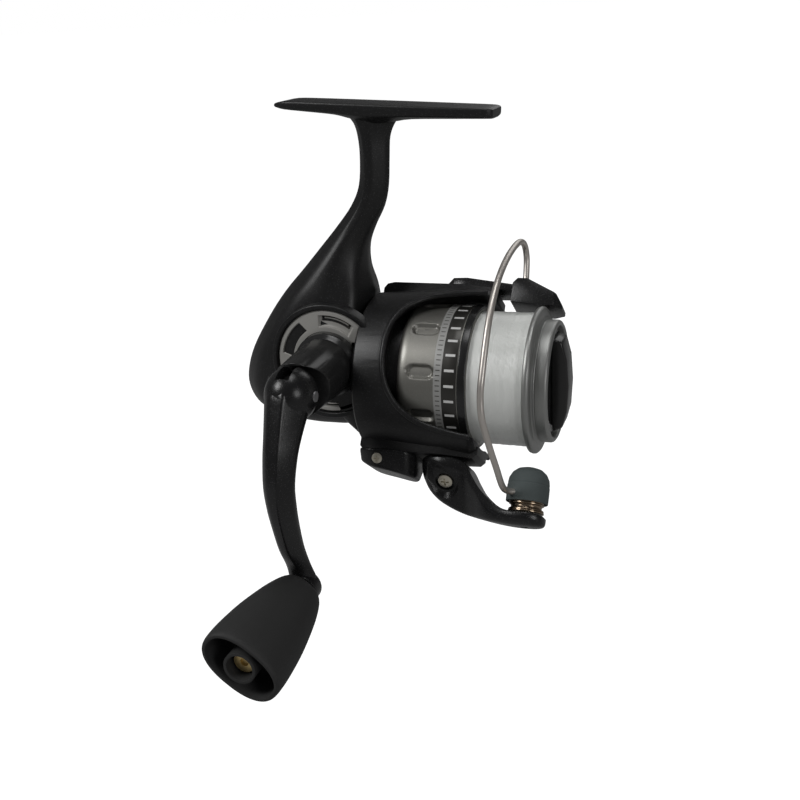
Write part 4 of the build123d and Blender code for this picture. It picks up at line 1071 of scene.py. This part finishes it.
@dataclass
class Bail:
    """The bail: two levers, the wire, the roller's cap and the line roller."""

    repeat: RepeatTree
    roller_x: float = 1.5
    face_centre: Point = (-23.2, -3.2, -34.6)
    drop_turn: float = 2.25
    # the wire, from inside the far lever's bracket round to the roller's cap
    wire_path: tuple[Point, ...] = (
        (-6.2, -1.9, 28.6), (-6.3, -2.4, 33.0), (-6.5, -4.2, 38.0), (-6.8, -8.6, 40.1), (-7.0, -15.6, 37.2),
        (-7.0, -26.4, 27.8), (-7.0, -34.3, 16.6), (-7.0, -37.8, 4.0), (-7.2, -36.8, -10.4), (-7.4, -34.4, -16.1),
        (-6.9, -31.7, -20.9), (-5.6, -25.5, -26.5), (-4.6, -18.0, -31.0), (-4.1, -10.6, -34.4), (-3.4, -7.0, -35.2),
        (-1.4, -4.6, -35.0), (0.6, -2.6, -34.4))
    # x, distance from the spool axis of the lever's inside and outside, half width
    near_stations: Rows = (
        (-31.0, 28.2, 31.4, 2.2), (-30.2, 27.3, 33.2, 4.4), (-28.4, 26.9, 36.0, 6.3), (-26.0, 26.9, 38.2, 7.3),
        (-23.6, 26.9, 39.6, 7.6), (-20.5, 26.9, 40.9, 7.4), (-17.0, 28.0, 42.0, 6.8), (-14.0, 32.2, 42.7, 6.2),
        (-11.5, 35.4, 43.2, 5.7), (-8.0, 38.2, 43.8, 5.3), (-4.5, 40.2, 44.2, 5.4), (-1.0, 40.6, 44.4, 5.8),
        (2.5, 40.6, 44.4, 5.8), (5.0, 40.7, 44.3, 4.8), (6.7, 40.9, 44.0, 3.2), (7.4, 41.4, 43.4, 1.3))

    def _on_face(self, along: float, inward: float, out: float) -> Point:
        """A point by the slanted face's pivot screw: along X, towards the spool axis, and out of the face."""
        x, y, z = self.face_centre
        h = math.sqrt(0.5)
        return (x + along, y - (inward + out) * h, z + (inward - out) * h)

    def _near_lever(self) -> Obj:
        """The near lever: a hub that sweeps out to a rounded pad, with a teardrop recess."""
        rows = smooth_rows(self.near_stations, 4)
        rings = []
        for x, inner, outer, half in rows:
            slant = smoothstep(-4.0, -14.0, x)
            low = inner + (0.6 - 0.38 * slant) * (outer - inner)
            crest = -half * 0.66 * (1 - slant) + slant * (-half + 0.86 * (outer - low))
            outline = [(-half, inner), (-half, low), (min(crest, half * 0.5), outer), (half * 0.66, outer - 0.1),
                       (half, inner + 0.6 * (outer - inner)), (half, inner)]
            cut = min(1.0, half * 0.4)
            rings.append([(x, y, -r) for y, r in filleted(outline, (cut * 0.6, 1.6 * cut, 1.8 * cut, 1.4 * cut,
                                                                     2 * cut, cut * 0.6))])
        lever = loft("near_lever", rings, Place.ROTOR)
        floor, lid = [], []
        for k in range(64):
            a = 2 * math.pi * k / 64
            reach = 3.7 + 4.4 * max(0.0, math.cos(a - self.drop_turn)) ** 3
            floor.append(self._on_face(math.cos(a) * reach, math.sin(a) * reach, -1.5))
            lid.append(self._on_face(math.cos(a) * reach * 1.9, math.sin(a) * reach * 1.9, 5.5))
        lever = combined(lever, loft("teardrop", [floor, lid], Place.ROTOR), "DIFFERENCE")
        well = cylinder("well", 2.95, self._on_face(0, 0, -2.6), self._on_face(0, 0, 4.0), Place.ROTOR)
        lever = combined(lever, well, "DIFFERENCE")
        hole = cylinder("hole", 1.25, (self.roller_x, 0, -40.0), (self.roller_x, 0, -45.0), Place.ROTOR, 24)
        return combined(lever, hole, "DIFFERENCE")

    def _far_lever(self) -> Obj:
        """The far lever: a thin arm that ends in a hooked bracket."""
        arm = [(-30.2, 26.9), (-30.2, 28.6), (-28.0, 29.6), (-9.0, 29.2), (-7.0, 26.9)]
        bracket = [(-10.5, 23.4), (-10.0, 29.6), (-8.6, 31.2), (-5.6, 31.2), (3.6, 26.8), (5.6, 23.6), (5.4, 22.7),
                   (-1.5, 22.8)]
        plans = ([(-30.2, -3.4), (-28.0, -5.8), (-23.6, -6.6), (-10.0, -3.0), (-8.0, 5.4), (-23.6, 6.6),
                  (-28.0, 5.8), (-30.2, 3.4)],
                 [(-10.0, -3.4), (3.0, -3.0), (5.4, 0.0), (5.4, 7.0), (2.0, 9.6), (-7.0, 9.6), (-10.0, 6.0)])
        whole = None
        for side, plan in zip((arm, bracket), plans):
            part = loft("part", [[(x, y, z) for x, z in side] for y in (-12.0, 12.0)], Place.ROTOR)
            trim = loft("trim", [[(x, y, z) for x, y in plan] for z in (20.0, 34.0)], Place.ROTOR)
            part = combined(part, trim, "INTERSECT")
            whole = part if whole is None else combined(whole, part, "UNION")
        return whole

    def build(self) -> None:
        """Builds and dresses the bail pieces."""
        lever = self._near_lever()
        lever.name = "bail_lever_with_recess"
        keep(bevelled(lever, 0.3, 38.0, 2), LEVER_BLACK, Body.BAIL, "bail_lever_near", shade=34.0)
        self.repeat.screw_set("bail_pivot_screw_near", "bail_pivot_cross_screw_near", Body.BAIL,
                              [self._on_face(0, 0, -1.3)], (0, -1, -1), ScrewKind(2.15, 1.2, 1.1, 7.0))
        far = self._far_lever()
        far.name = "bail_lever_plain"
        keep(bevelled(far, 0.8, 30.0, 3), LEVER_BLACK, Body.BAIL, "bail_lever_far")
        wire = tube("bail_wire_loop", [tuple(row) for row in smooth_rows(self.wire_path, 8)], 0.95, Place.ROTOR, 20)
        keep(wire, WIRE_STEEL, Body.BAIL, "bail_wire", shade=50.0)
        axis = (self.roller_x, 0.0)
        cap = [(-35.7, 1.3), (-35.7, 5.36), (-37.3, 5.5), (-37.3, 6.15), (-34.9, 6.2), (-32.3, 6.18), (-32.15, 6.06),
               (-31.9, 6.06), (-31.75, 6.12), (-30.2, 5.9), (-28.5, 5.0), (-27.3, 3.5), (-26.8, 1.6), (-26.8, 0.0),
               (-32.0, 0.0), (-32.0, 1.3)]
        keep(lathe_about("roller_cap", filleted(cap, 0.25, 3), axis, True, Place.ROTOR), CAP_RUBBER, Body.BAIL,
             "bail_roller_cap", shade=40.0)
        roller = [(-35.8, 2.2), (-35.8, 5.1), (-37.2, 5.1), (-37.35, 4.9), (-37.5, 5.1), (-37.9, 5.1), (-38.1, 4.6),
                  (-38.6, 4.5), (-39.0, 4.6), (-39.2, 5.1), (-39.6, 5.2), (-39.7, 5.0), (-39.8, 5.25), (-40.2, 5.25),
                  (-40.2, 2.2)]
        keep(lathe_about("roller_ring", filleted(roller, 0.06, 2), axis, True, Place.ROTOR), ROLLER_BRONZE, Body.ROLLER,
             "line_roller", shade=40.0)


# ---------------------------------------------------------------- handle
@dataclass
class Handle:
    """The handle: collar, knuckle and arm, and the paddle knob."""

    drive_x: float = -59.6
    drive_z: float = 7.4
    elbow_y: float = -44.4
    knob_z: float = -51.5
    knob_turn: float = 37.0
    # inside y and z, outside y and z, half width along X, shift along X
    arm_stations: Rows = (
        (-43.6, 9.4, -46.0, 14.7, 6.3, 0.0), (-44.6, 4.0, -51.4, 11.2, 6.2, 0.0), (-46.4, 1.0, -54.2, 6.0, 5.7, 0.0),
        (-49.6, -3.2, -57.0, -0.6, 5.1, 0.0), (-52.4, -7.6, -59.4, -6.8, 4.7, 0.0), (-54.8, -14.6, -61.2, -14.5, 4.3, 0.0),
        (-54.0, -21.5, -60.6, -21.5, 4.0, -0.2), (-52.2, -28.0, -58.8, -28.0, 3.7, -0.5),
        (-49.6, -36.3, -55.4, -36.8, 3.5, -0.8), (-47.0, -43.6, -51.3, -43.4, 3.6, -0.7),
        (-45.9, -48.0, -50.4, -47.6, 4.0, -0.2), (-45.9, -51.0, -50.4, -51.0, 4.4, 0.0))
    # y, half width and half thickness of the knob
    knob_stations: Rows = (
        (-50.9, 4.6, 4.2), (-51.5, 5.8, 5.2), (-53.2, 7.2, 6.0), (-58.6, 8.8, 6.4), (-66.0, 10.2, 6.8),
        (-74.0, 11.3, 7.2), (-82.0, 11.9, 7.5), (-87.0, 12.0, 7.6), (-89.2, 11.8, 7.4), (-90.0, 11.3, 6.9))

    def _arm(self) -> Obj:
        """The arm with a ridge along its outside, its knuckle and its round end."""
        rings = []
        for yi, zi, yo, zo, half, lean in smooth_rows(self.arm_stations, 4):
            outline = [(-0.86, 0.0), (-1.0, 0.16), (-1.0, 0.62), (-0.55, 0.93), (0.22, 1.0), (1.0, 0.42), (1.0, 0.16),
                       (0.86, 0.0)]
            ring = []
            for u, v in filleted(outline, (0.08, 0.1, 0.16, 0.22, 0.1, 0.12, 0.1, 0.08)):
                ring.append((self.drive_x + lean + u * half, yi + (yo - yi) * v, zi + (zo - zi) * v))
            rings.append(ring)
        arm = loft("arm", rings)
        ball = lathe("knuckle", [(7.4 * math.cos(a), 8.1 * math.sin(a)) for a in (math.pi * k / 24 for k in range(25))],
                     96)
        shift = REEL.at((self.drive_x, self.elbow_y, self.drive_z)) - REEL.at((0, 0, 0))
        ball.data.transform(Matrix.Translation(shift))
        profile = filleted([(-50.5, 0.0), (-50.5, 5.0), (-45.9, 5.0), (-45.9, 0.0)], 0.5)
        boss = lathe_about("boss", profile, (self.drive_x, self.knob_z), False, Place.SPOOL)
        for lump in (ball, boss):
            arm = combined(arm, lump, "UNION")
        slot_corners = [(self.drive_x + sx * 2.0, y, z) for sx in (-1, 1) for y in (-49.4, -30.0)
                        for z in (self.drive_z - 5.2, self.drive_z + 12)]
        arm = combined(arm, mesh_of("slot", slot_corners, BOX_FACES), "DIFFERENCE")
        pin = cylinder("pin_hole", 1.56, (self.drive_x - 12, self.elbow_y, self.drive_z),
                       (self.drive_x + 12, self.elbow_y, self.drive_z), Place.SPOOL, 32)
        return combined(arm, pin, "DIFFERENCE")

    def _knob_ring(self, y: float, wide: float, thick: float) -> list[Point]:
        """One section of the knob, an oval with fuller sides."""
        ring = []
        c, s = math.cos(math.radians(self.knob_turn)), math.sin(math.radians(self.knob_turn))
        for k in range(72):
            a = 2 * math.pi * k / 72
            u = wide * math.copysign(abs(math.cos(a)) ** 0.86, math.cos(a))
            v = thick * math.copysign(abs(math.sin(a)) ** 0.86, math.sin(a))
            ring.append((self.drive_x + u * c + v * s, y, self.knob_z - u * s + v * c))
        return ring

    def _knob(self) -> Obj:
        """The paddle knob, hollow at its end round a hub."""
        knob = loft("knob", [self._knob_ring(*row) for row in smooth_rows(self.knob_stations, 4)])
        hollow = loft("hollow", [self._knob_ring(-80.0, 9.0, 5.0), self._knob_ring(-82.0, 10.2, 5.9),
                                 self._knob_ring(-91.0, 10.6, 6.2)])
        hub = cylinder("hub", 4.6, (self.drive_x, -78.0, self.knob_z), (self.drive_x, -92.0, self.knob_z))
        hollow = combined(hollow, hub, "DIFFERENCE")
        knob = combined(knob, hollow, "DIFFERENCE")
        for radius, end, name in ((3.7, -85.4, "well"), (2.06, -49.0, "bore")):
            hole = cylinder(name, radius, (self.drive_x, end, self.knob_z), (self.drive_x, -93.0, self.knob_z))
            knob = combined(knob, hole, "DIFFERENCE")
        return knob

    def build(self) -> None:
        """Builds and dresses the handle pieces."""
        keep(refined("handle_collar", "handle_root_cone", 0.35), GLOSS_BLACK, Body.CRANK, "handle_collar")
        keep(refined("handle_screw_cap", "handle_far_cap", 0.4), GLOSS_BLACK, Body.CRANK, "handle_screw_cap")
        arm = self._arm()
        arm.name = "handle_arm_with_ridge"
        keep(arm, ARM_BLACK, Body.ARM, "handle_arm", shade=20.0)
        knob = self._knob()
        knob.name = "paddle_knob"
        keep(bevelled(knob, 0.35, 40.0, 2), KNOB_BLACK, Body.GRIP, "handle_knob", shade=35.0)


# ---------------------------------------------------------------- pieces kept as drawn
PLAIN_NODES = {
    BRIGHT_STEEL: "main_shaft drive_shaft guide_rod drive_bearing_near drive_bearing_far pinion_bearing "
                  "clutch_sleeve one_way_clutch clutch_retainer handle_fold_pin knob_spindle drag_metal_washer_1 "
                  "drag_metal_washer_2 drag_retainer_clip drag_spring bail_spring",
    SCREW_NICKEL: "clutch_retainer_screws slider_screw line_roller_screw",
    GEAR_BRASS: "pinion_gear rotor_nut knob_screw",
    GEAR_ZINC: "drive_gear oscillation_pinion oscillation_gear oscillation_slider",
    FELT: "drag_felt_washer_1 drag_felt_washer_2",
    NYLON: "line_roller_bush click_gear",
    GLOSS_BLACK: "anti_reverse_lever"}


def dress_plain_nodes() -> None:
    """Gives the CAD nodes that keep their shape their finish."""
    for finish, names in PLAIN_NODES.items():
        for name in names.split():
            materials = frame["nodes"][name].data.materials
            materials.clear()
            materials.append(finish.material())


# ---------------------------------------------------------------- studio
@dataclass
class Studio:
    """A white floor, soft lights and the camera."""

    floor_drop: float = 0.155
    floor_reach: float = 60.0
    floor_glow: float = 0.12
    world_glow: float = 0.10
    aim: Point = (0.02, 0.0, -0.07)
    # name, place in metres, side in metres, power in watts
    lights: tuple[tuple[str, Point, float, float], ...] = (
        ("key_left", (-0.42, -0.36, 0.40), 0.26, 2.4), ("front_right", (0.55, -0.35, 0.12), 0.22, 0.7),
        ("above", (0.05, 0.0, 0.6), 0.30, 1.1), ("behind", (0.1, 0.6, 0.3), 0.4, 0.5))
    camera_at: Point = (0.1038, -0.2925, 0.0243)
    right: Point = (0.947, 0.317, -0.052)
    forward: Point = (-0.315, 0.883, -0.347)
    focal: float = 47.25

    def _camera(self) -> None:
        """The camera, looking down at the handle side from ahead."""
        camera = bpy.data.objects.new("camera", bpy.data.cameras.new("camera"))
        bpy.context.scene.collection.objects.link(camera)
        right, forward = Vector(self.right).normalized(), Vector(self.forward).normalized()
        up = right.cross(forward)
        turn = Matrix((right, up, -forward)).transposed().to_4x4()
        turn.translation = Vector(self.camera_at)
        camera.matrix_world = turn
        camera.data.sensor_width = 36.0
        camera.data.lens = self.focal
        camera.data.clip_start = 0.01
        bpy.context.scene.camera = camera

    def _light(self, name: str, at: Point, aim: Point, size: float, power: float) -> None:
        """One square soft light."""
        lamp = bpy.data.lights.new(name, "AREA")
        lamp.shape = "SQUARE"
        lamp.size = size
        lamp.energy = power
        obj = bpy.data.objects.new(name, lamp)
        bpy.context.scene.collection.objects.link(obj)
        obj.location = at
        obj.rotation_euler = (Vector(aim) - Vector(at)).to_track_quat("-Z", "Y").to_euler()

    @staticmethod
    def _seen_as(tree: Tree, strength: Socket, others: float) -> None:
        """Drives a strength: 1 to the camera's own rays, and less to all others."""
        path = tree.nodes.new("ShaderNodeLightPath")
        level = add_node(tree, "ShaderNodeMapRange", {"To Min": others, "To Max": 1.0,
                                                      "Value": path.outputs["Is Camera Ray"]})
        tree.links.new(level.outputs[0], strength)

    def _world(self) -> None:
        """A white world that reflects only weakly."""
        world = bpy.data.worlds.new("studio")
        bpy.context.scene.world = world
        world.use_nodes = True
        background = world.node_tree.nodes["Background"]
        self._seen_as(world.node_tree, background.inputs["Strength"], self.world_glow)
        background.inputs["Color"].default_value = (1, 1, 1, 1)

    def _floor(self) -> None:
        """The white floor."""
        reach = self.floor_reach
        mesh = bpy.data.meshes.new("floor")
        mesh.from_pydata([(x, y, -self.floor_drop) for x, y in ((-reach, -reach), (reach, -reach), (reach, reach),
                                                                (-reach, reach))], [], [(0, 1, 2, 3)])
        plane = linked("floor", mesh)
        white = bpy.data.materials.new("floor_white")
        white.use_nodes = True
        shader = white.node_tree.nodes["Principled BSDF"]
        for label, value in {"Base Color": (0.25, 0.25, 0.25, 1), "Roughness": 0.9, "Specular IOR Level": 0.0,
                             "Emission Color": (1, 1, 1, 1)}.items():
            shader.inputs[label].default_value = value
        self._seen_as(white.node_tree, shader.inputs["Emission Strength"], self.floor_glow)
        mesh.materials.append(white)

    def build(self) -> None:
        """Sets the camera, world, floor and lights."""
        self._camera()
        self._world()
        self._floor()
        for name, at, size, power in self.lights:
            self._light(name, at, self.aim, size, power)
        bpy.context.scene.view_settings.view_transform = "Standard"


def main() -> None:
    """Builds the reel in order, then the studio."""
    logging.basicConfig(level=logging.INFO, format="%(name)s %(message)s")
    repeat = RepeatTree()
    Housing(repeat).build()
    Spool(repeat).build()
    Rotor(repeat).build()
    Bail(repeat).build()
    Handle().build()
    dress_plain_nodes()
    Studio().build()


if __name__ == "__main__":
    main()
